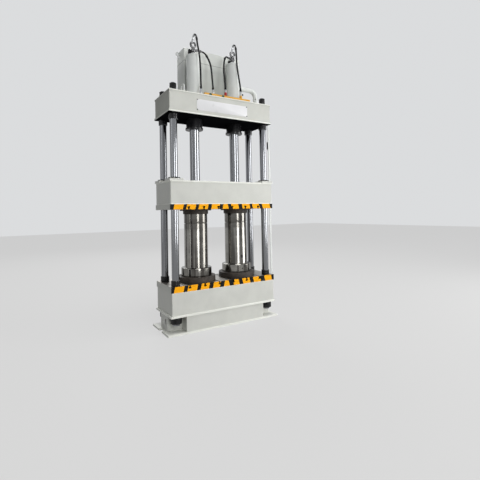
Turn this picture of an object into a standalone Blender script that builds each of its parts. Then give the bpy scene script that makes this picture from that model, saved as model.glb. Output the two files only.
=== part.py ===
"""Four-column hydraulic press with two main cylinders.

Metres, +Z up. The origin is on the floor, midway between the four columns. +X runs to the
right along the front of the press, and +Y towards its back.
"""

import math

import bmesh
import bpy
from mathutils import Vector

# Fits shared by every piece
SEAT = 0.0003  # gap left between two pieces that touch
RUNNING = 0.0004  # radial clearance round a sliding column, ram or piston
OVERRUN = 0.03  # how far a cutting tool passes the wall it cuts

# Facets of round shapes
COLUMN_FACETS = 16
CYLINDER_FACETS = 20
BLOCK_FACETS = 24
SMALL_FACETS = 8
EYE_FACETS = 12
BAR_FACETS = 6
ROUTE_STEPS = 12
CORNER_STEPS = 2
BEND_STEPS = 5

# Places that the whole frame follows
FRAME_HALF_WIDTH = 0.816
FRAME_HALF_DEPTH = 0.292
FRAME_CORNER = 0.005
COLUMN_INSET_X = 0.085  # from the frame's end to a column's middle
COLUMN_INSET_Y = 0.086
COLUMN_X = FRAME_HALF_WIDTH - COLUMN_INSET_X
COLUMN_Y = FRAME_HALF_DEPTH - COLUMN_INSET_Y
CYLINDER_X = 0.333
PLATE = 0.020  # wall of the welded boxes
RIB_X = 0.190  # middle of the inner upright ribs
RIB_TO_COLUMN = 0.115  # from the middle of the outer ribs to that of the columns
BULKHEADS = (RIB_X, COLUMN_X - RIB_TO_COLUMN)
CROWN_UNDERSIDE = 2.952  # above the floor

# Foot plate and plinth
FOOT_REACH = 0.060  # beyond the frame, at each end
FOOT_HALF_LENGTH = FRAME_HALF_WIDTH + FOOT_REACH
FOOT_LIP_FRONT = 0.006
FOOT_LIP_BACK = 0.038
FOOT_FRONT = FRAME_HALF_DEPTH + FOOT_LIP_FRONT
FOOT_BACK = FRAME_HALF_DEPTH + FOOT_LIP_BACK
FOOT_PLATE = 0.025
FOOT_NOTCH_WIDTH = 0.110
FOOT_NOTCH_DEPTH = 0.050
FOOT_NOTCH_Y = 0.010
PLINTH_TO_COLUMN = 0.114  # from the plinth's end to the columns' middle
PLINTH_HALF_WIDTH = COLUMN_X - PLINTH_TO_COLUMN
PLINTH_TOP = 0.231
ARM_BEYOND = 0.008  # beyond the frame
ARM_REACH = FRAME_HALF_WIDTH + ARM_BEYOND
ARM_SLOT_SHARE = 0.478  # of the arm's half depth, towards the front
ARM_SLOT_HALF_WIDTH = 0.020
ARM_SLOT_HALF_HEIGHT = 0.040
ARM_SLOT_Z = 0.145
WELD_OVERLAP = 0.010

# Bed and its T-slotted table
BED_HEIGHT = 0.325
BED_FLANGE = 0.025
BED_FLANGE_LIP_X = 0.020
BED_FLANGE_LIP_Y = 0.012
BED_ROOF = 0.030
TABLE_HEIGHT = 0.080
TABLE_LIP = 0.010

# T-slots of the bed table and the slide plate
SLOT_COUNT = 6
SLOT_END = 0.25475  # from the frame's end to the nearest slot
SLOT_PITCH = (FRAME_HALF_WIDTH - SLOT_END) * 2 / (SLOT_COUNT - 1)
SLOT_NECK = 0.022
SLOT_HEAD = 0.038
SLOT_NECK_DEPTH = 0.024
SLOT_DEPTH = 0.042

# Columns, their nuts and collars
COLUMN_RADIUS = 0.050
COLUMN_FOOT = 0.118  # lower end, above the floor
STUD_RADIUS = 0.033
STUD_CHAMFER = 0.005
STUD_ABOVE_NUT = 0.006
FOOT_NUT_RADIUS = 0.076
FOOT_NUT_HEIGHT = 0.092
BED_COLLAR_RADIUS = 0.060
CROWN_COLLAR_RADIUS = 0.0625
BED_COLLAR_HEIGHT = 0.071
CROWN_COLLAR_HEIGHT = 0.095
CROWN_NUT_RADIUS = 0.047
CROWN_NUT_HEIGHT = 0.106
CROWN_NUT_CHAMFER = 0.005

# Steel press blocks between bed and slide
DISC_RADIUS = 0.270
DISC_HEIGHT = 0.075
DISC_CHAMFER = 0.006
BLOCK_FLANGE_RADIUS = 0.2175
BLOCK_FLANGE_HEIGHT = 0.118
BLOCK_FLANGE_CHAMFER = 0.008
BLOCK_RADIUS = 0.168
BLOCK_HEIGHT = 0.874
BLOCK_GROOVE_DOWN = 0.128
BLOCK_GROOVE_WIDTH = 0.010
BLOCK_GROOVE_DEPTH = 0.006
PORT_HALF_WIDTH = 0.055
PORT_HEIGHT = 0.100
PORT_PROUD = 0.016
PORT_HOLE_RADIUS = 0.020
PORT_HOLE_DEPTH = 0.014
PORT_TURN = math.radians(28)
PACKING_RADIUS = 0.180
PACKING_HEIGHT = 0.048
PACKING_CAP_RADIUS = 0.225
PACKING_CAP_HEIGHT = 0.016

# Slide
SLIDE_PLATE_HEIGHT = 0.070
SLIDE_HEIGHT = 0.320
SLIDE_ROOF = 0.025
SLIDE_FLOOR = 0.025
SLIDE_LIP = 0.004
SLIDE_LIP_HEIGHT = 0.018
CORNER_PLATE_HALF = 0.100
CORNER_PLATE_HEIGHT = 0.025
SLIDE_PLATE_HOLE_RADIUS = 0.056
BUSH_RADIUS = 0.060
BUSH_FLANGE_RADIUS = 0.0835
BUSH_FLANGE_HEIGHT = 0.020
TAB_HALF_DEPTH = 0.020
TAB_HEIGHT = 0.060
TAB_REACH = 0.012
TAB_DOWN = 0.040

# Rams, barrels, glands and heads
RAM_RADIUS = 0.070
RAM_FOOT_RADIUS = 0.078
RAM_FOOT_HEIGHT = 0.016
PISTON_BOTTOM_ABOVE_CROWN = 0.100  # above the crown's underside, slide at rest
PISTON_HEIGHT = 0.085
BARREL_RADIUS = 0.098
BORE_RADIUS = 0.080
BARREL_HEIGHT = 0.604  # above the crown's top plate
GLAND_RADIUS = 0.118
GLAND_RIM_RADIUS = 0.128
GLAND_RIM_HEIGHT = 0.030
GLAND_DROP = 0.182
HEAD_RADIUS = 0.096
HEAD_HEIGHT = 0.036
HEAD_BOSS_RADIUS = 0.045
HEAD_BOSS_HEIGHT = 0.034
VALVE_OUT = 0.058  # from the cylinder's axis to the valve block's middle, towards the left
VALVE_HALF_WIDTH = 0.018
VALVE_HALF_DEPTH = 0.017
VALVE_HEIGHT_LEFT = 0.090
VALVE_HEIGHT_RIGHT = 0.062

# Crown
CROWN_HEIGHT = 0.301
CROWN_FLOOR = 0.028
CROWN_LIP = 0.012
CROWN_ROOF = 0.020
CROWN_TOP_LIP = 0.006

# Windows in the back plates and holes in the middle web
WINDOW_SHARE = 0.62  # of the bay's width, and of its height
WEB_HOLE_SHARE = 0.50
WINDOW_CORNER = 0.030

# Fittings on top of the cylinders
FITTING_HEX_RADIUS = 0.034
FITTING_HEX_HEIGHT = 0.018
BALL_RADIUS = 0.037
BALL_RISE_SHARE = 0.8  # of its radius, from the hexagon to its middle
NECK_RADIUS = 0.014
EYE_RADIUS = 0.037  # to the middle of the bar
EYE_BAR_RADIUS = 0.0165
EYE_SINK = 0.006  # how far ball and bead reach into the eye's bar
BEAD_RADIUS = 0.021
BEAD_HEIGHT = 0.032
OUTLET_RADIUS = 0.015
OUTLET_REACH_LEFT = 0.131
OUTLET_REACH_RIGHT = 0.055
OUTLET_RISE = 0.012  # above the ball's middle

# Oil tank
TANK_LEFT = -0.427
TANK_RIGHT = 0.532
TANK_FRONT = 0.115
TANK_BACK = 0.405
TANK_HEIGHT = 0.802
TANK_WALL = 0.008
TANK_CORNER = 0.012
HATCH_X = -0.040
HATCH_HALF_WIDTH = 0.130
HATCH_HALF_DEPTH = 0.085
HATCH_HEIGHT = 0.014
HATCH_HOLE_MARGIN = 0.030
HATCH_CORNER = 0.012
CAP_X = 0.010
CAP_RADIUS = 0.032
CAP_HEIGHT = 0.048
CAP_CHAMFER = 0.008
EAR_RADIUS = 0.023  # to the middle of the bar
EAR_BAR_RADIUS = 0.008
EAR_DOWN = 0.035
EAR_FORWARD = 0.093

# Return pipe
PIPE_RADIUS = 0.0365
PIPE_ABOVE_CROWN = 0.287
PIPE_DOWN_X = 0.742
PIPE_BEND = 0.105
PIPE_FLANGE_RADIUS = 0.055
PIPE_FLANGE_HEIGHT = 0.012

# Distribution bar on the crown, its adaptors and the port stub beside it
BAR_LEFT = -0.262
BAR_RIGHT = 0.500
BAR_Y = -0.200
BAR_DEPTH = 0.050
BAR_HEIGHT = 0.055
BAR_CHAMFER = 0.006
ADAPTOR_RADIUS = 0.017
STUB_BASE_RADIUS = 0.024
STUB_BASE_HEIGHT = 0.022

# Hoses
HOSE_RADIUS = 0.013
HOSE_POINTS = 14
HOSE_SIDES = 2  # bevel resolution: eight sides

# Lifting bows
BOW_BAR_RADIUS = 0.009
BOW_HALF_WIDTH = 0.050
BOW_HEIGHT = 0.132
BOW_BEND = 0.030
BOW_PAD_RADIUS = 0.014
BOW_PAD_HEIGHT = 0.006
LEFT_BOW_INSET_X = 0.241  # from the frame's end to the bow's middle
LEFT_BOW_INSET_Y = 0.122  # from the frame's front
RIGHT_BOW_INSET_X = 0.021
RIGHT_BOW_INSET_Y = 0.152
LEFT_BOW_X = LEFT_BOW_INSET_X - FRAME_HALF_WIDTH
LEFT_BOW_Y = LEFT_BOW_INSET_Y - FRAME_HALF_DEPTH
RIGHT_BOW_X = FRAME_HALF_WIDTH - RIGHT_BOW_INSET_X
RIGHT_BOW_Y = RIGHT_BOW_INSET_Y - FRAME_HALF_DEPTH

# Switch post
POST_GAP = 0.022  # from the frame's side to the post
POST_WIDTH = 0.030
POST_THICKNESS = 0.008
POST_Y = -0.200
POST_BOTTOM = 0.480
POST_ABOVE_CROWN_FLOOR = 0.098
BRACKET_HEIGHT = 0.050
BRACKET_HALF_DEPTH = 0.014
SWITCH_HEIGHT = 0.110
SWITCH_DEPTH = 0.034
SWITCH_DOWN = 0.312  # from the crown's underside to the switch's middle
SWITCH_CORNER = 0.004

# Places and heights that follow from the sizes above
ARM_HALF_DEPTH = COLUMN_Y - FOOT_NUT_RADIUS - SEAT  # the plinth's arms lie between the foot nuts
ARM_SLOT_Y = -ARM_HALF_DEPTH * ARM_SLOT_SHARE
BED_BOTTOM = PLINTH_TOP + SEAT
BED_TOP = BED_BOTTOM + BED_HEIGHT
TABLE_BOTTOM = BED_TOP + SEAT
TABLE_TOP = TABLE_BOTTOM + TABLE_HEIGHT
DISC_BOTTOM = TABLE_TOP + SEAT
BLOCK_BOTTOM = DISC_BOTTOM + DISC_HEIGHT + SEAT
BLOCK_TOP = BLOCK_BOTTOM + BLOCK_HEIGHT
PACKING_BOTTOM = BLOCK_TOP + SEAT
PACKING_TOP = PACKING_BOTTOM + PACKING_HEIGHT + PACKING_CAP_HEIGHT
SLIDE_UNDERSIDE = PACKING_TOP + SEAT
SLIDE_BOTTOM = SLIDE_UNDERSIDE + SLIDE_PLATE_HEIGHT + SEAT
SLIDE_TOP = SLIDE_BOTTOM + SLIDE_HEIGHT
CROWN_TOP = CROWN_UNDERSIDE + CROWN_HEIGHT
ON_CROWN = CROWN_TOP + SEAT
BARREL_TOP = CROWN_TOP + BARREL_HEIGHT
TANK_TOP = CROWN_TOP + TANK_HEIGHT
PIPE_Z = CROWN_TOP + PIPE_ABOVE_CROWN
POST_TOP = CROWN_UNDERSIDE + POST_ABOVE_CROWN_FLOOR
SWITCH_Z = CROWN_UNDERSIDE - SWITCH_DOWN
GLAND_BOTTOM = CROWN_UNDERSIDE - GLAND_DROP
BARREL_BOTTOM = GLAND_BOTTOM + GLAND_RIM_HEIGHT + SEAT
HEAD_BOTTOM = BARREL_TOP + SEAT
FITTING_BOTTOM = HEAD_BOTTOM + HEAD_HEIGHT + HEAD_BOSS_HEIGHT + SEAT
BALL_Z = FITTING_BOTTOM + FITTING_HEX_HEIGHT + BALL_RADIUS * BALL_RISE_SHARE
EYE_Z = BALL_Z + BALL_RADIUS + EYE_RADIUS + EYE_BAR_RADIUS - EYE_SINK
BEAD_Z = EYE_Z + EYE_RADIUS + EYE_BAR_RADIUS - EYE_SINK
FITTING_TOP = BEAD_Z + BEAD_HEIGHT

SIDES = {"left": -1, "right": 1}
CORNERS = {
    "front_left": (-COLUMN_X, -COLUMN_Y),
    "front_right": (COLUMN_X, -COLUMN_Y),
    "rear_left": (-COLUMN_X, COLUMN_Y),
    "rear_right": (COLUMN_X, COLUMN_Y),
}


# Materials


def finish(name, colour, roughness, metallic):
    """One Principled BSDF material, made on first use and shared after that."""
    if name in bpy.data.materials:
        return bpy.data.materials[name]
    made = bpy.data.materials.new(name)
    made.use_nodes = True
    made.diffuse_color = (*colour, 1)
    shader = made.node_tree.nodes["Principled BSDF"]
    shader.inputs["Base Color"].default_value = (*colour, 1)
    shader.inputs["Roughness"].default_value = roughness
    shader.inputs["Metallic"].default_value = metallic
    return made


def paint():
    return finish("machine_paint", (0.60, 0.60, 0.55), 0.45, 0)


def white_paint():
    return finish("white_paint", (0.72, 0.73, 0.70), 0.40, 0)


def yellow_paint():
    return finish("yellow_paint", (0.90, 0.42, 0.02), 0.45, 0)


def chrome():
    return finish("hard_chrome", (0.75, 0.77, 0.80), 0.12, 1)


def blackened():
    return finish("blackened_steel", (0.02, 0.02, 0.022), 0.45, 0.6)


def machined():
    return finish("machined_steel", (0.45, 0.44, 0.42), 0.25, 1)


def forged():
    return finish("forged_steel", (0.09, 0.075, 0.065), 0.6, 0.7)


def plated():
    return finish("zinc_plate", (0.62, 0.63, 0.64), 0.3, 1)


def hose_rubber():
    return finish("hose_rubber", (0.012, 0.012, 0.013), 0.55, 0)


def plastic():
    return finish("switch_plastic", (0.03, 0.03, 0.035), 0.5, 0)


# Solids: each is a pair of lists, its corner points and its faces


def loft(rings, closed=False):
    """Skin a row of rings that have equal numbers of points.

    A closed row runs back to its first ring, as round a bored piece. An open row gets a flat
    cap at each end.
    """
    points = [point for ring in rings for point in ring]
    count = len(rings[0])
    faces = []
    spans = len(rings) if closed else len(rings) - 1
    for row in range(spans):
        lower = row * count
        upper = (row + 1) % len(rings) * count
        for step in range(count):
            following = (step + 1) % count
            faces.append((lower + step, lower + following, upper + following, upper + step))
    if not closed:
        faces.append(tuple(reversed(range(count))))
        faces.append(tuple(range(len(points) - count, len(points))))
    return points, faces


def circle(radius, facets, turn=0):
    """Points of a circle round zero, in its own plane."""
    angles = [turn + math.tau * step / facets for step in range(facets)]
    return [(radius * math.cos(angle), radius * math.sin(angle)) for angle in angles]


def turned(profile, facets, at=(0, 0), bored=False, turn=0):
    """Turn a profile of (radius, height) pairs about a vertical axis."""
    rings = [
        [(at[0] + x, at[1] + y, height) for x, y in circle(radius, facets, turn)]
        for radius, height in profile
    ]
    return loft(rings, closed=bored)


def rod(start, end, radius, facets):
    """A straight round rod between two points."""
    start = Vector(start)
    end = Vector(end)
    return swept([start, end], radius, facets)


def rounded_rectangle(half_x, half_y, corner, steps=CORNER_STEPS):
    """Outline of a rectangle round zero with arcs at its corners."""
    outline = []
    for quarter, (side_x, side_y) in enumerate([(1, 1), (-1, 1), (-1, -1), (1, -1)]):
        for step in range(steps + 1):
            angle = math.pi / 2 * (quarter + step / steps)
            x = side_x * (half_x - corner) + corner * math.cos(angle)
            y = side_y * (half_y - corner) + corner * math.sin(angle)
            outline.append((x, y))
    return outline


def stacked(levels, corner, at=(0, 0), steps=1):
    """Boxes on each other as one skin, from (half width, half depth, height) levels."""
    rings = [
        [(at[0] + x, at[1] + y, z) for x, y in rounded_rectangle(half_x, half_y, corner, steps)]
        for half_x, half_y, z in levels
    ]
    return loft(rings)


def box(low, high):
    """A plain box between two opposite corners."""
    outline = [(low[0], low[1]), (high[0], low[1]), (high[0], high[1]), (low[0], high[1])]
    return upright(outline, low[2], high[2])


def upright(outline, low, high):
    """An outline in plan, drawn up between two heights."""
    return loft([[(x, y, z) for x, y in outline] for z in (low, high)])


def along_y(outline, low, high):
    """An outline seen from the front, as (x, z), drawn between two depths."""
    return loft([[(x, y, z) for x, z in outline] for y in (low, high)])


def along_x(outline, low, high):
    """An outline seen from the side, as (y, z), drawn between two places along X."""
    return loft([[(x, y, z) for y, z in outline] for x in (low, high)])


def moved(outline, across, up):
    return [(x + across, y + up) for x, y in outline]


def swept(path, radius, facets):
    """A round bar along a path of points, square to the path at every point."""
    path = [Vector(point) for point in path]
    rings = []
    side = None
    for index, here in enumerate(path):
        before = path[max(index - 1, 0)]
        after = path[min(index + 1, len(path) - 1)]
        ahead = (after - before).normalized()
        if side is None:
            side = ahead.orthogonal().normalized()
        side = (side - ahead * side.dot(ahead)).normalized()
        across = ahead.cross(side)
        rings.append([here + side * x + across * y for x, y in circle(radius, facets)])
    return loft(rings)


def ring_bar(middle, radius, bar_radius, first, second):
    """A closed ring of round bar, in the plane of two directions."""
    middle = Vector(middle)
    first = Vector(first)
    second = Vector(second)
    normal = first.cross(second)
    rings = []
    for x, y in circle(1, EYE_FACETS):
        outward = first * x + second * y
        rings.append(
            [
                middle + outward * (radius + reach) + normal * rise
                for reach, rise in circle(bar_radius, BAR_FACETS)
            ]
        )
    return loft(rings, closed=True)


def gather(solids):
    """Several separate solids as one pair of lists."""
    points = []
    faces = []
    for solid_points, solid_faces in solids:
        start = len(points)
        points.extend(solid_points)
        faces.extend(tuple(start + corner for corner in face) for face in solid_faces)
    return points, faces


# Objects


def make(name, solid, material):
    """One object with its faces pointing out and its round surfaces smooth."""
    mesh = bpy.data.meshes.new(name)
    mesh.from_pydata([tuple(point) for point in solid[0]], [], solid[1])
    work = bmesh.new()
    work.from_mesh(mesh)
    bmesh.ops.recalc_face_normals(work, faces=work.faces)
    work.to_mesh(mesh)
    work.free()
    mesh.shade_smooth()
    mesh.set_sharp_from_angle(angle=math.radians(35))
    mesh.materials.append(material)
    made = bpy.data.objects.new(name, mesh)
    bpy.context.scene.collection.objects.link(made)
    return made


def tool(body, label, operation, solids):
    """Change a body with a hidden tool made of one or more solids."""
    guide = make(body.name + "_" + label, gather(solids), body.data.materials[0])
    guide.hide_render = True
    guide.display_type = "WIRE"
    change = body.modifiers.new(label, "BOOLEAN")
    change.operation = operation
    change.solver = "EXACT"
    change.object = guide


def cut(body, label, solids):
    tool(body, label, "DIFFERENCE", solids)


def weld(body, label, solids):
    tool(body, label, "UNION", solids)


def carried_by(parent, children):
    """Parent pieces to an empty, so that they move with it."""
    for child in children:
        child.parent = parent


# Shared features


def bays(half_width, half_depth, low, high):
    """The hollows between the ribs of a welded box: two rows, split by the middle web."""
    half_rib = PLATE / 2
    inner, outer = BULKHEADS
    across = [
        (-half_width + PLATE, -outer - half_rib),
        (-outer + half_rib, -inner - half_rib),
        (-inner + half_rib, inner - half_rib),
        (inner + half_rib, outer - half_rib),
        (outer + half_rib, half_width - PLATE),
    ]
    deep = [(-half_depth + PLATE, -half_rib), (half_rib, half_depth - PLATE)]
    return [
        box((left, front, low), (right, back, high)) for left, right in across for front, back in deep
    ]


def windows(half_depth, low, high, share, from_y, to_y, middles):
    """Round-cornered windows, one for each bay that is named by its middle and half width."""
    height = high - low
    made = []
    for middle, half_width in middles:
        outline = rounded_rectangle(half_width * share, height * share / 2, WINDOW_CORNER)
        made.append(along_y(moved(outline, middle, low + height / 2), from_y, to_y))
    return made


def middle_bays():
    """Middle and half width of the three bays between the column bays."""
    inner, outer = BULKHEADS
    side = (inner + outer) / 2
    half_side = (outer - inner - PLATE) / 2
    return [(-side, half_side), (0, inner - PLATE / 2), (side, half_side)]


def column_holes(radius, low, high):
    return [turned([(radius, low), (radius, high)], COLUMN_FACETS, at) for at in CORNERS.values()]


def lighten(body, low, high, bays_with_windows):
    """Hollow a welded box, open its bays at the back and join them through the web."""
    cut(body, "bays", bays(FRAME_HALF_WIDTH, FRAME_HALF_DEPTH, low, high))
    back = (FRAME_HALF_DEPTH - OVERRUN, FRAME_HALF_DEPTH + OVERRUN)
    web = (-OVERRUN, OVERRUN)
    cut(body, "back_windows", windows(FRAME_HALF_DEPTH, low, high, WINDOW_SHARE, *back, bays_with_windows))
    cut(body, "web_holes", windows(FRAME_HALF_DEPTH, low, high, WEB_HOLE_SHARE, *web, bays_with_windows))


def slotted_plate(name, half_width, half_depth, low, high, slots_up, material):
    """A plate with T-slots from front to back in its upper or its lower face."""
    face = high if slots_up else low
    other = low if slots_up else high
    inward = -1 if slots_up else 1
    outline = [(half_width, other), (-half_width, other), (-half_width, face)]
    for index in range(SLOT_COUNT):
        middle = (index - (SLOT_COUNT - 1) / 2) * SLOT_PITCH
        neck_end = face + inward * SLOT_NECK_DEPTH
        head_end = face + inward * SLOT_DEPTH
        outline += [
            (middle - SLOT_NECK / 2, face),
            (middle - SLOT_NECK / 2, neck_end),
            (middle - SLOT_HEAD / 2, neck_end),
            (middle - SLOT_HEAD / 2, head_end),
            (middle + SLOT_HEAD / 2, head_end),
            (middle + SLOT_HEAD / 2, neck_end),
            (middle + SLOT_NECK / 2, neck_end),
            (middle + SLOT_NECK / 2, face),
        ]
    outline.append((half_width, face))
    return make(name, along_y(outline, -half_depth, half_depth), material)


def smooth_route(route, count):
    """Evenly spaced points on a smooth curve, with a straight lead at both ends of the route."""
    points = [Vector(point) for point in route[1:-1]]
    ends = [points[0] * 2 - points[1]] + points + [points[-1] * 2 - points[-2]]
    fine = []
    for before, start, end, after in zip(ends, ends[1:], ends[2:], ends[3:]):
        for step in range(ROUTE_STEPS):
            t = step / ROUTE_STEPS
            fine.append(
                0.5
                * (
                    2 * start
                    + (end - before) * t
                    + (2 * before - 5 * start + 4 * end - after) * t**2
                    + (3 * start - before - 3 * end + after) * t**3
                )
            )
    fine.append(points[-1])
    lengths = [0]
    for start, end in zip(fine, fine[1:]):
        lengths.append(lengths[-1] + (end - start).length)
    even = [Vector(route[0])]
    place = 0
    for index in range(count):
        wanted = lengths[-1] * index / (count - 1)
        while place < len(fine) - 2 and lengths[place + 1] < wanted:
            place += 1
        t = (wanted - lengths[place]) / (lengths[place + 1] - lengths[place])
        even.append(fine[place].lerp(fine[place + 1], t))
    return even + [Vector(route[-1])]


# Sub-parts


def make_base_frame():
    """Foot plate with a notch in each end, and a plus-shaped plinth of ribbed cells on it."""
    notch_low = FOOT_NOTCH_Y - FOOT_NOTCH_WIDTH / 2
    notch_high = FOOT_NOTCH_Y + FOOT_NOTCH_WIDTH / 2
    notch_x = FOOT_HALF_LENGTH - FOOT_NOTCH_DEPTH
    right_end = [
        (FOOT_HALF_LENGTH, -FOOT_FRONT),
        (FOOT_HALF_LENGTH, notch_low),
        (notch_x, notch_low),
        (notch_x, notch_high),
        (FOOT_HALF_LENGTH, notch_high),
        (FOOT_HALF_LENGTH, FOOT_BACK),
    ]
    left_end = [(-x, y) for x, y in reversed(right_end)]
    base = make("base_frame", upright(right_end + left_end, 0, FOOT_PLATE), paint())

    quarter = [
        (ARM_REACH, ARM_HALF_DEPTH),
        (PLINTH_HALF_WIDTH, ARM_HALF_DEPTH),
        (PLINTH_HALF_WIDTH, FRAME_HALF_DEPTH),
    ]
    back = quarter + [(-x, y) for x, y in reversed(quarter)]
    front = [(-x, -y) for x, y in back]
    weld(base, "plinth", [upright(back + front, FOOT_PLATE - WELD_OVERLAP, PLINTH_TOP)])

    half_rib = PLATE / 2
    inner = BULKHEADS[0]
    outer = PLINTH_HALF_WIDTH - PLATE
    across = [(-outer, -inner - half_rib), (-inner + half_rib, inner - half_rib), (inner + half_rib, outer)]
    deep = [(-FRAME_HALF_DEPTH + PLATE, -half_rib), (half_rib, FRAME_HALF_DEPTH - PLATE)]
    cells = [(left, right, low, high) for left, right in across for low, high in deep]
    arm = ARM_HALF_DEPTH - PLATE
    cells.append((-ARM_REACH + PLATE, -PLINTH_HALF_WIDTH, -arm, arm))
    cells.append((PLINTH_HALF_WIDTH, ARM_REACH - PLATE, -arm, arm))
    cut(
        base,
        "cells",
        [
            box((left, front, FOOT_PLATE), (right, back, PLINTH_TOP + OVERRUN))
            for left, right, front, back in cells
        ],
    )
    slot = rounded_rectangle(ARM_SLOT_HALF_WIDTH, ARM_SLOT_HALF_HEIGHT, ARM_SLOT_HALF_WIDTH * 0.99)
    slot = moved(slot, ARM_SLOT_Y, ARM_SLOT_Z)
    reach = ARM_REACH + OVERRUN
    short = ARM_REACH - PLATE - OVERRUN
    cut(base, "end_slots", [along_x(slot, -reach, -short), along_x(slot, short, reach)])
    return base


def make_bed():
    """Welded bed box with a flange round its underside, and the T-slotted table on it."""
    flange_x = FRAME_HALF_WIDTH + BED_FLANGE_LIP_X
    flange_y = FRAME_HALF_DEPTH + BED_FLANGE_LIP_Y
    levels = [
        (flange_x, flange_y, BED_BOTTOM),
        (flange_x, flange_y, BED_BOTTOM + BED_FLANGE),
        (FRAME_HALF_WIDTH, FRAME_HALF_DEPTH, BED_BOTTOM + BED_FLANGE),
        (FRAME_HALF_WIDTH, FRAME_HALF_DEPTH, BED_TOP),
    ]
    bed = make("bed_frame", stacked(levels, FRAME_CORNER), paint())
    lighten(bed, BED_BOTTOM + BED_FLANGE, BED_TOP - BED_ROOF, middle_bays())
    hole = COLUMN_RADIUS + SEAT
    cut(bed, "column_holes", column_holes(hole, BED_BOTTOM - OVERRUN, BED_TOP + OVERRUN))

    table = slotted_plate(
        "bed_table",
        FRAME_HALF_WIDTH + TABLE_LIP,
        FRAME_HALF_DEPTH,
        TABLE_BOTTOM,
        TABLE_TOP,
        True,
        machined(),
    )
    cut(table, "column_holes", column_holes(hole, TABLE_BOTTOM - OVERRUN, TABLE_TOP + OVERRUN))
    return [bed, table]


def make_columns():
    """Four chromed columns with a thinner stud at the top, and the nuts and collars on them."""
    made = []
    shoulder = CROWN_UNDERSIDE - SEAT
    nut_top = ON_CROWN + CROWN_NUT_HEIGHT
    stud_top = nut_top + STUD_ABOVE_NUT
    column = [
        (COLUMN_RADIUS, COLUMN_FOOT),
        (COLUMN_RADIUS, shoulder),
        (STUD_RADIUS, shoulder),
        (STUD_RADIUS, stud_top - STUD_CHAMFER),
        (STUD_RADIUS - STUD_CHAMFER, stud_top),
    ]
    bore = COLUMN_RADIUS + SEAT
    foot_high = BED_BOTTOM - SEAT
    foot_low = foot_high - FOOT_NUT_HEIGHT
    foot_nut = [
        (bore, foot_low),
        (FOOT_NUT_RADIUS, foot_low),
        (FOOT_NUT_RADIUS, foot_high),
        (bore, foot_high),
    ]
    crown_nut = [
        (STUD_RADIUS + SEAT, ON_CROWN),
        (CROWN_NUT_RADIUS, ON_CROWN),
        (CROWN_NUT_RADIUS, nut_top - CROWN_NUT_CHAMFER),
        (CROWN_NUT_RADIUS - CROWN_NUT_CHAMFER, nut_top),
        (STUD_RADIUS + SEAT, nut_top),
    ]
    for corner, at in CORNERS.items():
        made.append(make("column_" + corner, turned(column, COLUMN_FACETS, at), chrome()))
        nut = turned(foot_nut, COLUMN_FACETS, at, bored=True)
        made.append(make("foot_nut_" + corner, nut, blackened()))
        nut = turned(crown_nut, COLUMN_FACETS, at, bored=True)
        made.append(make("crown_nut_" + corner, nut, blackened()))
        low = TABLE_TOP + SEAT
        high = low + BED_COLLAR_HEIGHT
        made.append(make_collar("bed_collar_" + corner, at, BED_COLLAR_RADIUS, low, high))
        high = CROWN_UNDERSIDE - SEAT
        low = high - CROWN_COLLAR_HEIGHT
        made.append(make_collar("crown_collar_" + corner, at, CROWN_COLLAR_RADIUS, low, high))
    return made


def make_collar(name, at, radius, low, high):
    """A ring clamped round a column."""
    bore = COLUMN_RADIUS + SEAT
    profile = [(bore, low), (radius, low), (radius, high), (bore, high)]
    return make(name, turned(profile, COLUMN_FACETS, at, bored=True), blackened())


def make_blocks():
    """Turned steel blocks that the slide rests on, each with a disc below and a cap above."""
    made = []
    flange_top = BLOCK_BOTTOM + BLOCK_FLANGE_HEIGHT
    groove_top = BLOCK_TOP - BLOCK_GROOVE_DOWN
    groove_low = groove_top - BLOCK_GROOVE_WIDTH
    groove_radius = BLOCK_RADIUS - BLOCK_GROOVE_DEPTH
    block = [
        (BLOCK_FLANGE_RADIUS, BLOCK_BOTTOM),
        (BLOCK_FLANGE_RADIUS, flange_top - BLOCK_FLANGE_CHAMFER),
        (BLOCK_FLANGE_RADIUS - BLOCK_FLANGE_CHAMFER, flange_top),
        (BLOCK_RADIUS, flange_top),
        (BLOCK_RADIUS, groove_low),
        (groove_radius, groove_low),
        (groove_radius, groove_top),
        (BLOCK_RADIUS, groove_top),
        (BLOCK_RADIUS, BLOCK_TOP),
    ]
    disc = [
        (DISC_RADIUS, DISC_BOTTOM),
        (DISC_RADIUS, DISC_BOTTOM + DISC_HEIGHT - DISC_CHAMFER),
        (DISC_RADIUS - DISC_CHAMFER, DISC_BOTTOM + DISC_HEIGHT),
    ]
    packing = [
        (PACKING_RADIUS, PACKING_BOTTOM),
        (PACKING_RADIUS, PACKING_BOTTOM + PACKING_HEIGHT),
        (PACKING_CAP_RADIUS, PACKING_BOTTOM + PACKING_HEIGHT),
        (PACKING_CAP_RADIUS, PACKING_TOP),
    ]
    for side, sign in SIDES.items():
        at = (sign * CYLINDER_X, 0)
        made.append(make("block_disc_" + side, turned(disc, BLOCK_FACETS, at), forged()))
        made.append(make("press_block_" + side, turned(block, BLOCK_FACETS, at), machined()))
        made.append(make("block_packing_" + side, turned(packing, BLOCK_FACETS, at), forged()))
        if side == "right":
            add_port(made[-2], at)
    return made


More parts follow.
